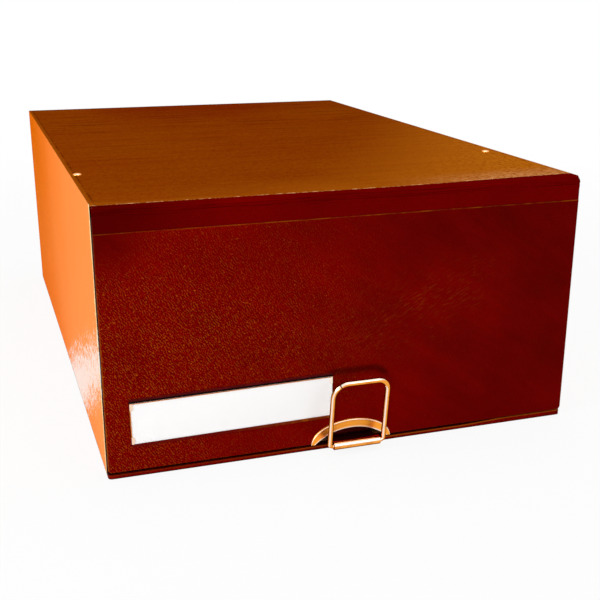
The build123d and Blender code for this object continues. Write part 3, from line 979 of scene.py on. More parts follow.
def plated(name, bright, dull, polished, rough):
    """Plated metal with worn clouds and fine draw lines, painted pale in highlight bands and dark in bands
    of shade and dark reflection that the mesh marks.
    """
    metal = Finish(name)
    plate = metal.effect(plating)
    metal.ground(plate["Worn"] * 0.6, bright, dull)
    # Painted highlight where the mesh marks its bright band, and painted dark where it marks its dark band
    metal.coat(metal.marked("rubbed") * plate["Lines"].step(0.28, 0.52, 0.55, 1.0), polished)
    metal.coat(metal.marked("painted_dark_band"), shaded(dull, 0.12))
    lines = plate["Lines"].step(0.3, 0.7, rough, rough + 0.10)
    more = {"Metallic": 1.0, "Specular Tint": opaque(bright)}
    return metal.close(lines, plate["Height"], 0.008 * MM, 0.4, more)


def gilt_metal(name):
    """Gold plating, painted to white metal in its highlight bands."""
    looks = finishes()
    return plated(name, looks.gilt, looks.gilt_shade, looks.white_metal, 0.08)


def dull_gilt(name):
    """Gold plating that has gone brown."""
    looks = finishes()
    return plated(name, looks.gilt_shade, shaded(looks.gilt_shade, 0.4), looks.gilt, 0.20)


def pressed_gilt(name):
    """Gold plating on pressed metal, less polished than the wire."""
    looks = finishes()
    return plated(name, looks.rim_gilt, looks.gilt, looks.white_metal, 0.26)


def plain_steel(name):
    """Plain steel."""
    steel = finishes().steel
    return plated(name, steel, shaded(steel, 0.6), shaded(steel, 1.3), 0.30)


def close_dark_metal(metal, plate, level):
    """Ends a dark metal finish, with little gloss."""
    lines = plate["Lines"].step(0.3, 0.7, 0.45, 0.60)
    return metal.close(lines, plate["Height"], 0.012 * MM, 0.5, {"Specular IOR Level": level})


def bronze(name):
    """Maroon bronze, rubbed to gold towards the right."""
    metal = Finish(name)
    looks = finishes()
    plate = metal.effect(plating)
    x = metal.parts(metal.place)[0]
    rubbed = x.step_mm(-70, -20, 0.02, 0.85) * plate["Worn"].step(0.0, 1.0, 0.3, 1.0)
    metal.ground(rubbed, looks.bronze, looks.fleck_gold)
    return close_dark_metal(metal, plate, 0.02)


def lacquer(name):
    """Dark red coat that stands for shade, with fine dust lines, worn spots, and painted shade darker still
    where the mesh marks it.
    """
    metal = Finish(name)
    red = finishes().lacquer
    plate = metal.effect(plating)
    metal.ground(plate["Worn"], red, shaded(red, 1.6))
    metal.coat(metal.marked("painted_shade"), shaded(red, 0.05))
    return close_dark_metal(metal, plate, 0.05)


# Geometry Nodes


class Tree(Group):
    """A Geometry Nodes tree, whose last nodes realise the instances and set the material."""

    def __init__(self, name, inputs):
        super().__init__(name, "GeometryNodeTree", {"Geometry": GEOMETRY, **inputs})
        self.tree.interface.new_socket("Geometry", in_out="OUTPUT", socket_type=GEOMETRY)

    def copies(self, points, instance, angles):
        """A copy of some geometry at each point, turned by angles."""
        turn = self.out("FunctionNodeEulerToRotation", 0, {0: angles})
        given = {"Points": points, "Instance": instance, "Rotation": turn}
        return self.out("GeometryNodeInstanceOnPoints", "Instances", given)

    def close(self, geometry, material):
        """Ends the tree."""
        real = self.out("GeometryNodeRealizeInstances", 0, {"Geometry": geometry})
        smooth = self.out("GeometryNodeSetShadeSmooth", 0, {"Geometry": real})
        painted = self.out("GeometryNodeSetMaterial", 0, {"Geometry": smooth, "Material": material})
        self.add("NodeGroupOutput", {"Geometry": painted})
        return self

    def mesh(self, name, data, values):
        """A plain mesh: the tree run on some data with its inputs set."""
        holder = new_object(name + "_raw", data)
        modifier = holder.modifiers.new("nodes", "NODES")
        modifier.node_group = self.tree
        for label, value in values.items():
            modifier[self.names[label]] = value
        return applied(holder, name)


def fastener_tree(material):
    """A round head on a shank, set at each point."""
    lengths = ("Head Radius", "Head Height", "Shank Radius", "Shank Length")
    tree = Tree("round_headed_fasteners", {**dict.fromkeys(lengths, NUMBER), "Turn": VECTOR})
    points, head_radius, head_height, shank_radius, shank_length, turn = tree.given
    ball = tree.out("GeometryNodeMeshUVSphere", "Mesh", {"Segments": 28, "Rings": 16, "Radius": 1.0})
    x, y, z = tree.parts(tree.out("GeometryNodeInputPosition", 0))
    dome = tree.math("POWER", z.most(0.0), 0.8)
    place = tree.joined(x * head_radius, y * head_radius, dome * head_height)
    head = tree.out("GeometryNodeSetPosition", 0, {"Geometry": ball, "Position": place})
    given = {"Vertices": 16, "Radius": shank_radius, "Depth": shank_length}
    shank = tree.out("GeometryNodeMeshCylinder", "Mesh", given)
    down = tree.joined(0.0, 0.0, shank_length * -0.5)
    shank = tree.out("GeometryNodeTransform", 0, {"Geometry": shank, "Translation": down})
    both = tree.add("GeometryNodeJoinGeometry")
    for piece in (head, shank):
        tree.feed(both.inputs[0], piece)
    return tree.close(tree.copies(points, Value(tree, both.outputs[0]), turn), material)


def wire_tree(material):
    """A round wire swept along a curve, with closed ends."""
    tree = Tree("bent_wire", {"Wire Radius": NUMBER, "Sides": "NodeSocketInt"})
    route, radius, sides = tree.given
    ring = tree.out("GeometryNodeCurvePrimitiveCircle", "Curve", {"Resolution": sides, "Radius": radius})
    given = {"Curve": route, "Profile Curve": ring, "Fill Caps": True}
    return tree.close(tree.out("GeometryNodeCurveToMesh", "Mesh", given), material)


def claw_tree(material):
    """One claw set at each point, turned by the point's own angles."""
    tree = Tree("corner_claws", {"Claw": "NodeSocketObject"})
    points, claw = tree.given
    shape = tree.out("GeometryNodeObjectInfo", "Geometry", {"Object": claw})
    angles = tree.out(
        "GeometryNodeInputNamedAttribute", "Attribute", {"Name": "turn"}, data_type="FLOAT_VECTOR"
    )
    return tree.close(tree.copies(points, shape, angles), material)


def point_mesh(name, points, turns=()):
    """A mesh of loose points, each with its angles where they are given."""
    mesh = bpy.data.meshes.new(name)
    mesh.from_pydata(points, [], [])
    if turns:
        angles = mesh.attributes.new("turn", "FLOAT_VECTOR", "POINT")
        angles.data.foreach_set("vector", [angle for turn in turns for angle in turn])
    return mesh


# Operators, one for each piece or group of like pieces


class MakeCaseSheets(bpy.types.Operator):
    """Covering sheets of the case, with rounded edges where they go round the boards"""

    bl_idname = "document_box.make_case_sheets"
    bl_label = "Case Sheets"

    def goes_round(self, edge):
        """Whether an edge of a side sheet goes round the case's top or front."""
        places = [end.co for end in edge.verts]
        outside = all(near(abs(place.x), HALF_WIDTH) for place in places)
        at_top = all(near(place.z, CASE_TOP) for place in places)
        at_front = all(near(place.y, WALL_FRONT) for place in places)
        return outside and (at_top or at_front)

    def execute(self, context):
        size = sizes()
        lid = finish(lid_leather)
        side = finish(side_leather)
        kinds = (
            ("top_cover", lid, "lid_sheet"),
            ("back_cover", lid, "lid_sheet"),
            ("left_cover", side, "side_sheet"),
            ("right_cover", side, "side_sheet"),
            ("bottom_cover", finish(base_sheet), "base_sheet"),
        )
        upward = 0.6
        for node, material, slot in kinds:
            shape = softened_node(node, size.sheet_round, size.case_round, self.goes_round)
            sheet = place_piece(node + "_sheet", finished_mesh(node, shape), material, "case", [node])
            if slot == "side_sheet":
                finish_faces(sheet, lid, lambda face: face.normal.z > upward)
        return {"FINISHED"}


class MakeLinings(bpy.types.Operator):
    """Lining papers inside the case and the flap"""

    bl_idname = "document_box.make_linings"
    bl_label = "Linings"

    def execute(self, context):
        paper = finish(lining_paper)
        walls = ("floor_lining", "roof_lining", "left_lining", "right_lining", "back_lining")
        for node, body in {**dict.fromkeys(walls, "case"), "flap_lining": "flap"}.items():
            shape = softened_node(node, sizes().sheet_round)
            place_piece(node + "_paper", finished_mesh(node, shape), paper, body, [node])
        return {"FINISHED"}


class FinishBoards(bpy.types.Operator):
    """Finish of the boards and panels under the sheets"""

    bl_idname = "document_box.finish_boards"
    bl_label = "Boards"

    def execute(self, context):
        boards = dict.fromkeys(("bottom_board", "top_board", "flap_board"), pressed_board)
        panels = dict.fromkeys(("left_panel", "right_panel", "back_panel"), sawn_wood)
        for node, maker in {**boards, **panels}.items():
            mesh = frame["nodes"][node].data
            mesh.materials.clear()
            mesh.materials.append(finish(maker))
        return {"FINISHED"}


class MakeSillBinding(bpy.types.Operator):
    """Leather cloth round the front edge of the base"""

    bl_idname = "document_box.make_sill_binding"
    bl_label = "Sill Binding"

    def goes_round(self, edge):
        """Whether an edge runs along the outside of the binding."""
        low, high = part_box("sill_strip")
        start, end = [vertex.co for vertex in edge.verts]
        outer = near(start.z, low.z) or near(start.z, high.z)
        forward = max(start.y, end.y) < WALL_FRONT - SAME_PLACE
        return near(start.z, end.z) and outer and forward

    def execute(self, context):
        size = sizes()
        shape = softened_node("sill_strip", size.sheet_round, size.sill_round, self.goes_round)
        mesh = finished_mesh("sill", shape)
        place_piece("sill_binding", mesh, finish(sill_leather), "case", ["sill_strip"])
        return {"FINISHED"}


class MakeHingeCloth(bpy.types.Operator):
    """One strip of cloth over the lid's front edge and down the flap, creased at the hinge"""

    bl_idname = "document_box.make_hinge_cloth"
    bl_label = "Hinge Cloth"

    # The crease at the hinge, and a fainter one below it
    crease_width = 0.45 * MM
    second_width = 0.35 * MM
    second_below = 2.4 * MM
    second_share = 0.3

    # The cloth's faint ripple along the front
    ripple_height = 0.035 * MM
    ripple_pitch = 9 * MM

    def dent(self, away, width):
        """A smooth dent with its deepest place at 0."""
        return math.exp(-((away / width) ** 2))

    def profile(self):
        """Y and Z from the lid, round its edge and down the flap."""
        size = sizes()
        bend = size.lid_round
        points = [(LID_FRONT, CASE_TOP + CLOTH_LIFT), (LID_FRONT - 0.3 * MM, CASE_TOP + CLOTH_LIFT / 2)]
        points += arc((FRONT + bend, CASE_TOP - bend), bend, 90, 180, 10)
        margin = 0.5 * MM
        fold_rows = stations(LID_UNDER + margin, FOLD_END - margin, 26)
        flap_rows = stations(fold_rows[-1] - 0.6 * MM, STRIP_LOW, 12)
        for z in fold_rows + flap_rows:
            crease = self.dent(z - FOLD.z, self.crease_width)
            second = self.second_share * self.dent(z - FOLD.z + self.second_below, self.second_width)
            sunk = smooth_step(FOLD.z, FOLD.z - 3 * MM, z)
            points.append((FRONT + size.crease_depth * (crease + second) + size.cloth_sink * sunk, z))
        return points

    def overlap(self, x):
        """How far the cloth lies over the lid, most at its right end."""
        size = sizes()
        more = size.overlap_right - size.overlap_left
        return size.overlap_left + more * smooth_step(OVERLAP_FROM, OVERLAP_TO, x)

    def cut_edge_at(self, vertex):
        """How near a point is to the cut edge on the lid."""
        inside = LID_FRONT + self.overlap(vertex.co.x) - vertex.co.y
        return smooth_step(0.35 * MM, 0.1 * MM, inside)

    def rounded_end(self, x, radius):
        """How far an end that is rounded to a radius falls back at a place along the front."""
        past = max(radius - (HALF_WIDTH - abs(x)), 0)
        return radius - math.sqrt(max(radius**2 - past**2, 0))

    def places_across(self):
        """Places along the front, closer together at the rounded ends."""
        end_round = sizes().lid_round
        margin = 0.1 * MM
        ends = [margin + end_round * share**2 for share in stations(0, 1, 8)]
        inner = HALF_WIDTH - 2 * end_round
        left = [-HALF_WIDTH + end for end in ends]
        right = [HALF_WIDTH - end for end in reversed(ends)]
        return left + stations(-inner, inner, 96) + right

    def rows(self, across):
        """Rows of points from the cut edge on the lid to the lower edge on the flap."""
        corner = 1 * MM
        edge = [(x, self.overlap(x), CASE_TOP + CLOTH_LIFT - self.rounded_end(x, corner)) for x in across]
        rows = [[(x, LID_FRONT + share * over, z) for x, over, z in edge] for share in (1.0, 0.9, 0.7, 0.4)]
        for y, z in self.profile():
            radius = 0.5 * MM + 1.6 * MM * smooth_step(CASE_TOP - 3 * MM, CASE_TOP - 0.5 * MM, z)
            rippled = self.ripple_height * smooth_step(CASE_TOP - 1 * MM, FOLD.z, z)
            on_lid = smooth_step(CASE_TOP - 2 * MM, CASE_TOP, z)
            row = []
            for x in across:
                deep = y + self.rounded_end(x, radius) + rippled * waver(x, self.ripple_pitch, z / MM)
                row.append((x, min(deep, LID_FRONT), z - self.rounded_end(x, corner) * on_lid))
            rows.append(row)
        return rows

    def execute(self, context):
        across = self.places_across()
        rows = self.rows(across)
        middle = len(across) // 2
        steps = [0.0]
        for row, lower in zip(rows, rows[1:]):
            steps.append(steps[-1] + (Vector(lower[middle]) - Vector(row[middle])).length)
        shape = grid(rows, (steps, [x + HALF_WIDTH for x in across]))
        mesh = finished_mesh("hinge_cloth", shape, thickness=sizes().cloth_thickness)
        mark(mesh, "rubbed", self.cut_edge_at)
        nodes = ["hinge_strip_upper", "hinge_strip_lower"]
        cloth = place_piece("hinge_cloth_strip", mesh, finish(hinge_cloth), None, nodes)
        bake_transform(cloth)
        spare = [self.overlap(x) - self.overlap(across[middle]) for x in across]
        area = 2 * HALF_WIDTH * steps[-1]
        for i in range(len(across) - 1):
            area += (across[i + 1] - across[i]) * (spare[i] + spare[i + 1]) / 2
        flat = (2 * HALF_WIDTH, steps[-1] + max(spare))
        return {"FINISHED"}


class MakeFlapSheet(bpy.types.Operator):
    """Leather-grain sheet of the flap, turned in round its sides and bottom"""

    bl_idname = "document_box.make_flap_sheet"
    bl_label = "Flap Sheet"

    def goes_round(self, edge):
        """Whether an edge runs along the flap's outline, and not along its notch or its turn-ins."""
        places = [end.co for end in edge.verts]
        flat = any(all(near(place.y, depth) for place in places) for depth in (FRONT, FLAP_INSIDE))
        cut = all(place.z > STRIP_LOW - SAME_PLACE for place in places)
        reach = sizes().rim_half_width
        notch = any(abs(place.x) < reach and place.z > FLAP_LOW + SAME_PLACE for place in places)
        border = 5 * MM
        inner = any(HALF_WIDTH - abs(place.x) > border and place.z > FLAP_LOW + border for place in places)
        return flat and not cut and not notch and not inner

    def execute(self, context):
        size = sizes()
        shape = softened_node("flap_cover", size.sheet_round, size.flap_round, self.goes_round)
        mesh = finished_mesh("flap_sheet", shape)
        place_piece("flap_sheet", mesh, finish(flap_leather), "flap", ["flap_cover"])
        return {"FINISHED"}


class MakeLabelHolder(bpy.types.Operator):
    """Sheet-metal label holder: a back plate with a rail, a lip, a left edge and four corner claws"""

    bl_idname = "document_box.make_label_holder"
    bl_label = "Label Holder"

    def plate_path(self):
        """Y and Z of the back plate with its folded rail, in the middle of the metal."""
        size = sizes()
        bottom, top = label_span()[2:]
        low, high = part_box("label_holder")
        half = size.holder_thickness / 2
        back = high.y - half
        front = low.y + half
        bend = (back - front) / 2
        fold = arc(((back + front) / 2, bottom - size.rail_height + half + bend), bend, 0, -180, 8)
        return [(back, top), (back, (top + bottom) / 2)] + fold + [(front, bottom)]

    def claw(self):
        """One claw for a left corner, about the middle of its outer edge."""
        size = sizes()
        low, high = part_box("label_holder")
        half = size.holder_thickness / 2
        depth = high.y - low.y - size.holder_thickness
        bend = 0.35 * MM
        tip = size.claw_reach
        path = [(0, depth), (0, bend)] + [(bend - x, y) for x, y in arc((0, bend), bend, 0, -90, 6)]
        path += [(share * tip, 0) for share in (0.4, 0.6, 0.75, 0.88, 0.96, 1.0)]
        rows = []
        for x, y in path:
            reach = size.claw_length / 2 * (1 - 0.55 * smooth_step(0.5 * tip, 1.1 * tip, x))
            rows.append([(x + half, y + low.y + half, z) for z in stations(-reach, reach, 8)])
        return grid(rows)

    def metal(self, name, shape):
        """A mesh of the holder's metal from a surface in its middle."""
        return finished_mesh(name, shape, sizes().holder_thickness, offset=0.0, edge_round=0.06 * MM)

    def fold_piece(self, name, across, path, maker):
        """Sets one fold of the holder on the flap, with painted shade marked near the card."""
        top = label_span()[3]
        lip = sizes().lip_height
        mesh = self.metal(name, swept(across, path))
        mark(mesh, "painted_shade", lambda vertex: 1 - smooth_step(0.35, 0.65, (vertex.co.z - top) / lip))
        set_askew(mesh)
        place_piece(name, mesh, finish(maker), "flap", ["label_holder"])

    def execute(self, context):
        size = sizes()
        left, right, bottom, top = label_span()
        outer = (left - size.holder_thickness, right + size.holder_thickness)
        across = stations(*outer, 40)
        on_flap = FRONT - size.holder_thickness / 2
        over_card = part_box("label_card")[0].y - 0.15 * MM
        lip = stations(top, top + size.lip_height, 8)
        bead = stations(top - size.bead_width, top + 0.05 * MM, 2)
        end = stations(outer[0], left + size.bead_width / 2, 2)
        edge = stations(bottom + size.claw_length, top - size.claw_length, 12)
        self.fold_piece("label_plate", across, self.plate_path(), bronze)
        # The lip is a dark sheet above the card that stands for its shadow
        self.fold_piece("label_lip", across, [(on_flap, z) for z in lip], lacquer)
        self.fold_piece("label_bead", across, [(over_card, z) for z in bead], dull_gilt)
        self.fold_piece("label_edge", end, [(over_card, z) for z in edge], dull_gilt)
        gilt = finish(gilt_metal)
        claw = new_object("claw", self.metal("claw", self.claw()))
        heights = (bottom + size.claw_length / 2, top - size.claw_length / 2)
        points = [(x, 0, z) for x in outer for z in heights]
        turns = [LEVEL if x == outer[0] else (0, math.pi, 0) for x, _, _ in points]
        mesh = claw_tree(gilt).mesh("label_claws", point_mesh("claw_points", points, turns), {"Claw": claw})
        bpy.data.objects.remove(claw)
        set_askew(mesh)
        middle = label_middle().x
        # Painted highlight on the claws, brighter on the right ones
        mark(mesh, "rubbed", lambda vertex: 0.7 if vertex.co.x < middle else 1.0)
        place_piece("label_claws", mesh, gilt, "flap", ["label_holder"])
        return {"FINISHED"}


class MakeLabelCard(bpy.types.Operator):
    """White card, bowed slightly between its claws"""

    bl_idname = "document_box.make_label_card"
    bl_label = "Label Card"

    def execute(self, context):
        size = sizes()
        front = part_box("label_card")[0].y
        left, right, bottom, top = label_span()
        rows = []
        for down in stations(0, 1, 12):
            to_edge = (2 * down - 1) ** 2
            row = []
            for along in stations(0, 1, 48):
                bow = size.card_bow * (1 - (2 * along - 1) ** 4) * (1 - to_edge)
                curl = 0.05 * MM * waver(along, 0.11, 1.7) * to_edge
                x = left + (right - left) * along
                row.append((x, front - bow - abs(curl), top + (bottom - top) * down))
            rows.append(row)
        mesh = finished_mesh("label_card", grid(rows), size.card_thickness, edge_round=0.05 * MM)
        set_askew(mesh)
        place_piece("label_card_white", mesh, finish(card_paper), "flap", ["label_card"])
        return {"FINISHED"}


class MakeNotchRim(bpy.types.Operator):
    """Pressed crescent rim round the notch, clinched over the plate behind the flap"""

    bl_idname = "document_box.make_notch_rim"
    bl_label = "Notch Rim"

    # Share of the way over the rim's face and height there in millimetres, up to its two beads
    face = (
        ((0.0, 0.5), (0.02, 0.9), (0.06, 1.14), (0.11, 1.18), (0.17, 1.08), (0.30, 1.02), (0.55, 1.0))
        + ((0.75, 1.0), (0.84, 1.07), (0.90, 1.12), (0.95, 0.9), (0.985, 0.5), (1.0, 0.02))
    )

    def crescent(self):
        """The rim's surface, from its clinched edge behind, through the notch and over its face."""
        size = sizes()
        radius = (size.notch_half_width**2 + size.notch_rise**2) / (2 * size.notch_rise)
        middle = FLAP_LOW + size.notch_rise - radius
        spread = math.degrees(math.asin(size.notch_half_width / radius))
        steps = 72
        inner = arc((0, middle), radius, 90 + spread, 90 - spread, steps)
        unit = arc((0, 0), 1, 180, 0, steps)
        outer = [(size.rim_half_width * x, FLAP_LOW + size.rim_rise * z) for x, z in unit]
        clinch = 0.38 * MM
        strap_room = size.strap_half_width + 2.5 * MM
        rows = []
        for offset in (1.7 * MM, 0.9 * MM, 0.35 * MM):
            row = []
            for x, z in inner:
                open_here = smooth_step(strap_room, strap_room + 0.4 * MM, abs(x))
                away = Vector((x, z - middle)).normalized() * offset * open_here
                row.append((x + away.x, PLATE_BACK + clinch * open_here, z + away.y))
            rows.append(row)
        for depth in (PLATE_BACK, FLAP_INSIDE, (FRONT + FLAP_INSIDE) / 2, FRONT):
            rows.append([(x, depth, z) for x, z in inner])
        for share, height in self.face:
            row = []
            for (x0, z0), (x1, z1) in zip(inner, outer):
                row.append((x0 + (x1 - x0) * share, FRONT - height * MM, z0 + (z1 - z0) * share))
            rows.append(row)
        return grid(rows)

    def execute(self, context):
        size = sizes()
        shape = self.crescent()
        bmesh.ops.recalc_face_normals(shape, faces=shape.faces)
        mesh = finished_mesh("notch_rim", shape, size.rim_thickness, even=False)
        # Painted highlight along the rim's two beads
        mark(mesh, "rubbed", lambda vertex: smooth_step(1.06 * MM, 1.12 * MM, FRONT - vertex.co.y))
        place_piece("notch_rim_pressed", mesh, finish(pressed_gilt), "flap", ["notch_rim"])
        mesh = finished_mesh("rim_back_plate", softened_node("rim_back_plate", size.sheet_round))
        steel = finish(plain_steel)
        place_piece("rim_back_plate_steel", mesh, steel, "flap", ["rim_back_plate"])
        return {"FINISHED"}


class MakePullStrap(bpy.types.Operator):
    """Metal strap rolled round the bail's foot, led through the notch and turned up behind the flap"""

    bl_idname = "document_box.make_pull_strap"
    bl_label = "Pull Strap"

    # Degrees round the sleeve at which its painted highlight is brightest and its painted shade least
    bright_at = 32
    clean_at = 25

    def path(self):
        """Y and Z in the middle of the metal, from the tail's top to the end of the roll."""
        size = sizes()
        half = size.strap_thickness / 2
        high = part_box("pull_strap")[1]
        tail = high.y - half
        level = PIVOT.z
        bend = 1.2 * MM
        roll = size.sleeve_bore + half
        points = [(tail, z) for z in stations(high.z, level + bend, 6)]
        points += arc((tail - bend, level + bend), bend, 0, -90, 8)[1:]
        rise_start = PIVOT.y + 5.2 * MM
        rise_end = PIVOT.y + 0.5 * MM
        points += [(y, level) for y in stations(tail - bend, rise_start, 8)[1:]]
        for share in stations(0, 1, 10)[1:]:
            y = rise_start + (rise_end - rise_start) * share
            points.append((y, level + roll * 0.985 * smooth_step(0, 1, share)))
        return points + arc((PIVOT.y, level), roll, 92, 338, 36)

    def lift_at(self, vertex):
        """Degrees round the sleeve from its front, counted upwards."""
        return math.degrees(math.atan2(vertex.normal.z, -vertex.normal.y))

    def rubbed_at(self, vertex):
        """How bright the painted highlight on the sleeve is, in a band along its upper front."""
        return 1 - smooth_step(13, 27, abs(self.lift_at(vertex) - self.bright_at))

    def tarnish_at(self, vertex):
        """How dark the painted shade on the sleeve is, along its top and underneath."""
        return smooth_step(44, 60, abs(self.lift_at(vertex) - self.clean_at))

    def grime_at(self, vertex):
        """How much painted shade lies on the strap, most within the notch."""
        return 0.9 - 0.7 * smooth_step(FLAP_INSIDE - 1 * MM, FLAP_INSIDE, vertex.co.y)

    def execute(self, context):
        size = sizes()
        across = stations(-size.strap_half_width, size.strap_half_width, 24)
        shape = swept(across, self.path())
        mesh = finished_mesh("pull_strap", shape, size.strap_thickness, offset=0.0, edge_round=0.12 * MM)
        mark(mesh, "rubbed", self.rubbed_at)
        mark(mesh, "painted_dark_band", self.tarnish_at)
        mark(mesh, "painted_shade", self.grime_at)
        gilt = finish(gilt_metal)
        strap = place_piece("pull_strap_rolled", mesh, gilt, "flap", ["pull_strap"])
        # The tongue behind the sleeve gets a dark coat that stands for the shade in the notch
        plain_from = PIVOT.y + size.sleeve_bore + size.strap_thickness
        finish_faces(strap, finish(lacquer), lambda face: face.center.y > plain_from)
        return {"FINISHED"}


class MakeBail(bpy.types.Operator):
    """Wire bail with rounded corners and the butt joint of its two ends"""

    bl_idname = "document_box.make_bail"
    bl_label = "Bail"

    # Degrees round the wire at which its painted highlight is brightest and its painted dark reflection
    # least, and the highlight band's shift on top
    bright_at = 30
    clean_at = 22
    top_shift = 18

    def route(self):
        """X and height of the wire's middle, from one end round to the other, before it leans."""
        size = sizes()
        half = size.bail_half_width
        tall = size.bail_length
        left = size.bail_left_bend
        right = size.bail_right_bend
        foot = size.bail_foot_bend
        gap = math.degrees(size.bail_joint_gap / left) / 2
        joint = 180 - math.degrees(size.bail_joint_turn)
        nip = 1.5
        bend = (-half + left, tall - left)
        points = arc(bend, left, joint - gap, joint - gap - nip, 1)
        points += arc(bend, left, joint - gap - 2 * nip, 90, 8)
        points += arc((half - right, tall - right), right, 90, 0, 14)
        points += arc((half - foot, foot), foot, 0, -90, 8)
        points += arc((-half + foot, foot), foot, -90, -180, 8)
        points += arc(bend, left, 180, joint + gap + 2 * nip, 14)
        return points + arc(bend, left, joint + gap + nip, joint + gap, 1)

    def side_at(self, vertex):
        """Degrees round the wire from its front, counted towards the left and the top."""
        level = Matrix.Rotation(-sizes().bail_lean, 3, "X") @ vertex.normal
        return math.degrees(math.atan2(level.z - level.x, -level.y))

    def rubbed_at(self, vertex):
        """How bright the painted highlight on the wire is, in a band along its front, higher and wider on
        its top bar.
        """
        size = sizes()
        below = size.bail_length - size.bail_right_bend
        on_top = smooth_step(below, size.bail_length - 2 * MM, vertex.co.z - PIVOT.z)
        away = abs(self.side_at(vertex) - self.bright_at - self.top_shift * on_top)
        return 1 - smooth_step(9 + 8 * on_top, 24 + 4 * on_top, away)

    def tarnish_at(self, vertex):
        """How dark the painted dark reflection on the wire is, along its flanks."""
        away = abs(self.side_at(vertex) - self.clean_at)
        return smooth_step(42, 58, away) * (1 - smooth_step(90, 112, away))

    def execute(self, context):
        size = sizes()
        lean = Matrix.Rotation(size.bail_lean, 4, "X")
        curve = bpy.data.curves.new("bail_route", "CURVE")
        curve.dimensions = "3D"
        points = [PIVOT + lean @ Vector((x, 0, z)) for x, z in self.route()]
        spline = curve.splines.new("POLY")
        spline.points.add(len(points) - 1)
        for slot, point in zip(spline.points, points):
            slot.co = (*point, 1.0)
        nipped = 0.84
        spline.points[0].radius = nipped
        spline.points[-1].radius = nipped
        gilt = finish(gilt_metal)
        mesh = wire_tree(gilt).mesh("bail", curve, {"Wire Radius": size.wire_radius, "Sides": 28})
        mesh.set_sharp_from_angle(angle=CUT_ANGLE)
        mark(mesh, "rubbed", self.rubbed_at)
        mark(mesh, "painted_dark_band", self.tarnish_at)
        place_piece("bail_wire", mesh, gilt, "bail", ["bail"])
        return {"FINISHED"}


class SetFasteners(bpy.types.Operator):
    """Tacks through the lid, and rivets that hold the strap to its plate"""

    bl_idname = "document_box.set_fasteners"
    bl_label = "Tacks and Rivets"

    def fasteners(self, name, points, material, head, shank, turn):
        """A mesh of like fasteners. Head and shank are given by radius and height or length."""
        given = {"Head Radius": head[0], "Head Height": head[1], "Turn": turn}
        given.update({"Shank Radius": shank[0], "Shank Length": shank[1]})
        mesh = fastener_tree(material).mesh(name, point_mesh(name + "_points", points), given)
        mesh.set_sharp_from_angle(angle=HEAD_ANGLE)
        return mesh

    def execute(self, context):
        gilt = finish(gilt_metal)
        steel = finish(plain_steel)
        low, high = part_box("lid_tacks")
        head = sizes().tack_head
        tacks = [(low.x + head, low.y + head, CASE_TOP), (high.x - head, high.y - head, CASE_TOP)]
        shank = (0.8 * MM, CASE_TOP - low.z)
        mesh = self.fasteners("lid_tacks", tacks, gilt, (head, high.z - CASE_TOP), shank, LEVEL)
        # Painted highlight on the tops of the tack heads
        mark(mesh, "rubbed", lambda vertex: 0.85 * smooth_step(0.6, 0.9, vertex.normal.z))
        place_piece("lid_tacks_domed", mesh, gilt, "case", ["lid_tacks"])
        low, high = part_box("strap_rivets")
        head = sizes().rivet_head
        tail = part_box("pull_strap")[1].y
        rivets = [(side * (high.x - head), tail, (low.z + high.z) / 2) for side in (-1, 1)]
        shank = (1.2 * MM, tail - low.y)
        backward = (-math.pi / 2, 0, 0)
        mesh = self.fasteners("strap_rivets", rivets, steel, (head, high.y - tail), shank, backward)
        place_piece("strap_rivets_domed", mesh, steel, "flap", ["strap_rivets"])
        return {"FINISHED"}


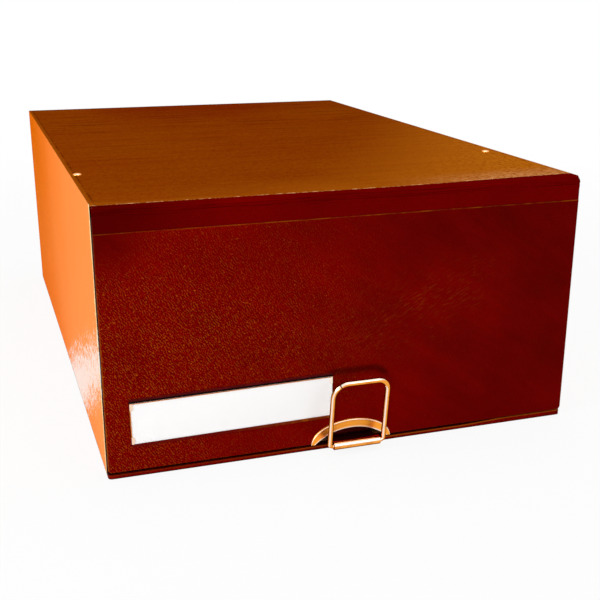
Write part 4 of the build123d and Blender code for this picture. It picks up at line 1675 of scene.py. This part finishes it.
class SetStage(bpy.types.Operator):
    """Floor, soft lamps, white surroundings and the camera"""

    bl_idname = "document_box.set_stage"
    bl_label = "Stage"

    def floor(self, look):
        """Pale floor that keeps the shadow and goes to white for the camera and in reflections."""
        reach = 4.0
        below = -0.05 * MM
        corners = [(reach * x, reach * y, below) for x, y in ((-1, -1), (1, -1), (1, 1), (-1, 1))]
        mesh = bpy.data.meshes.new("floor")
        mesh.from_pydata(corners, [], [(0, 1, 2, 3)])
        floor = new_object("floor", mesh)
        material = bpy.data.materials.new("floor")
        bench = Bench(bare_tree(material))
        matt = bench.out("ShaderNodeBsdfDiffuse", 0, {"Color": opaque(look.floor)})
        white = bench.out("ShaderNodeEmission", 0, {"Color": opaque(WHITE), "Strength": 1.0})
        x, y, _ = bench.parts(bench.out("ShaderNodeTexCoord", "Object"))
        seen = self.seen_ray(bench) * bench.far(x, y).step(0.3, 0.9, look.floor_white, 1.0)
        both = bench.out("ShaderNodeMixShader", 0, {0: seen, 1: matt, 2: white})
        bench.add("ShaderNodeOutputMaterial", {"Surface": both})
        mesh.materials.append(material)

    def seen_ray(self, bench):
        """1 for rays from the camera, in reflections and through clear things."""
        rays = bench.add("ShaderNodeLightPath").outputs
        kinds = ("Is Camera Ray", "Is Glossy Ray", "Is Transmission Ray")
        camera, glossy, through = [Value(bench, rays[kind]) for kind in kinds]
        return camera.most(glossy).most(through)

    def sky(self, look):
        """Even light from all round, seen as white."""
        world = bpy.data.worlds.new("white_surroundings")
        bench = Bench(bare_tree(world))
        strength = self.seen_ray(bench).step(0.0, 1.0, look.sky, 1.0)
        sky = bench.out("ShaderNodeBackground", 0, {"Color": opaque(WHITE), "Strength": strength})
        bench.add("ShaderNodeOutputWorld", {"Surface": sky})
        bpy.context.scene.world = world

    def lamp(self, name, place, width, power):
        """A square soft lamp, aimed at the middle of the box."""
        light = bpy.data.lights.new(name, "AREA")
        light.energy = power
        light.shape = "SQUARE"
        light.size = width
        lamp = new_object(name, light)
        lamp.location = place
        lamp.rotation_mode = "QUATERNION"
        aim = Vector((0, -0.05, 0.06))
        lamp.rotation_quaternion = (aim - Vector(place)).to_track_quat("-Z", "Y")
        lamp.visible_camera = False

    def camera(self, look):
        """The camera at the photographed view."""
        data = bpy.data.cameras.new("camera")
        data.sensor_width = 36.0
        data.lens = look.lens
        data.shift_x = -0.0018
        data.shift_y = 0.0373
        data.clip_start = 0.01
        camera = new_object("camera", data)
        ahead = Vector((0.30142, 0.89801, -0.32050)).normalized()
        right = Vector((0.94823, -0.31759, 0.00194))
        right = (right - right.dot(ahead) * ahead).normalized()
        up = right.cross(ahead)
        turn = Matrix((right, up, -ahead)).transposed().to_4x4()
        camera.matrix_world = Matrix.Translation((-0.1709, -0.6138, 0.2221)) @ turn
        bpy.context.scene.camera = camera

    def execute(self, context):
        look = context.scene.box_stage
        self.floor(look)
        self.sky(look)
        self.lamp("key_lamp", (-1.0, -0.45, 0.75), 0.55, look.key)
        self.lamp("top_lamp", (0.15, 0.05, 1.25), 0.8, look.top)
        self.lamp("front_lamp", (-0.62, -1.40, 0.10), 0.30, look.fill)
        self.lamp("broad_lamp", (0.42, -1.15, 0.62), 0.60, look.broad)
        self.camera(look)
        context.scene.view_settings.view_transform = "Standard"
        return {"FINISHED"}


STEPS = (
    SetStage,
    FinishBoards,
    MakeCaseSheets,
    MakeLinings,
    MakeSillBinding,
    MakeHingeCloth,
    MakeFlapSheet,
    MakeLabelHolder,
    MakeLabelCard,
    MakeNotchRim,
    MakePullStrap,
    MakeBail,
    SetFasteners,
)


class DocumentBoxPanel(bpy.types.Panel):
    """The steps that dress the box, in order"""

    bl_idname = "VIEW3D_PT_document_box"
    bl_label = "Document Box"
    bl_space_type = "VIEW_3D"
    bl_region_type = "UI"
    bl_category = "Document Box"

    def draw(self, context):
        for step in STEPS:
            self.layout.operator(step.bl_idname)
        for group in (context.scene.box_sizes, context.scene.box_finishes, context.scene.box_stage):
            column = self.layout.box().column()
            for name in group.bl_rna.properties.keys():
                if name not in ("rna_type", "name"):
                    column.prop(group, name)


GROUPS = {"box_sizes": BoxSizes, "box_finishes": BoxFinishes, "box_stage": BoxStage}


def register():
    for kind in (*GROUPS.values(), *STEPS, DocumentBoxPanel):
        bpy.utils.register_class(kind)
    for name, group in GROUPS.items():
        setattr(bpy.types.Scene, name, bpy.props.PointerProperty(type=group))


def unregister():
    for name in GROUPS:
        delattr(bpy.types.Scene, name)
    for kind in (DocumentBoxPanel, *reversed(STEPS), *GROUPS.values()):
        bpy.utils.unregister_class(kind)


def main():
    """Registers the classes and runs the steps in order."""
    register()
    bpy.ops.document_box.set_stage()
    bpy.ops.document_box.finish_boards()
    bpy.ops.document_box.make_case_sheets()
    bpy.ops.document_box.make_linings()
    bpy.ops.document_box.make_sill_binding()
    bpy.ops.document_box.make_hinge_cloth()
    bpy.ops.document_box.make_flap_sheet()
    bpy.ops.document_box.make_label_holder()
    bpy.ops.document_box.make_label_card()
    bpy.ops.document_box.make_notch_rim()
    bpy.ops.document_box.make_pull_strap()
    bpy.ops.document_box.make_bail()
    bpy.ops.document_box.set_fasteners()


if __name__ == "__main__":
    main()
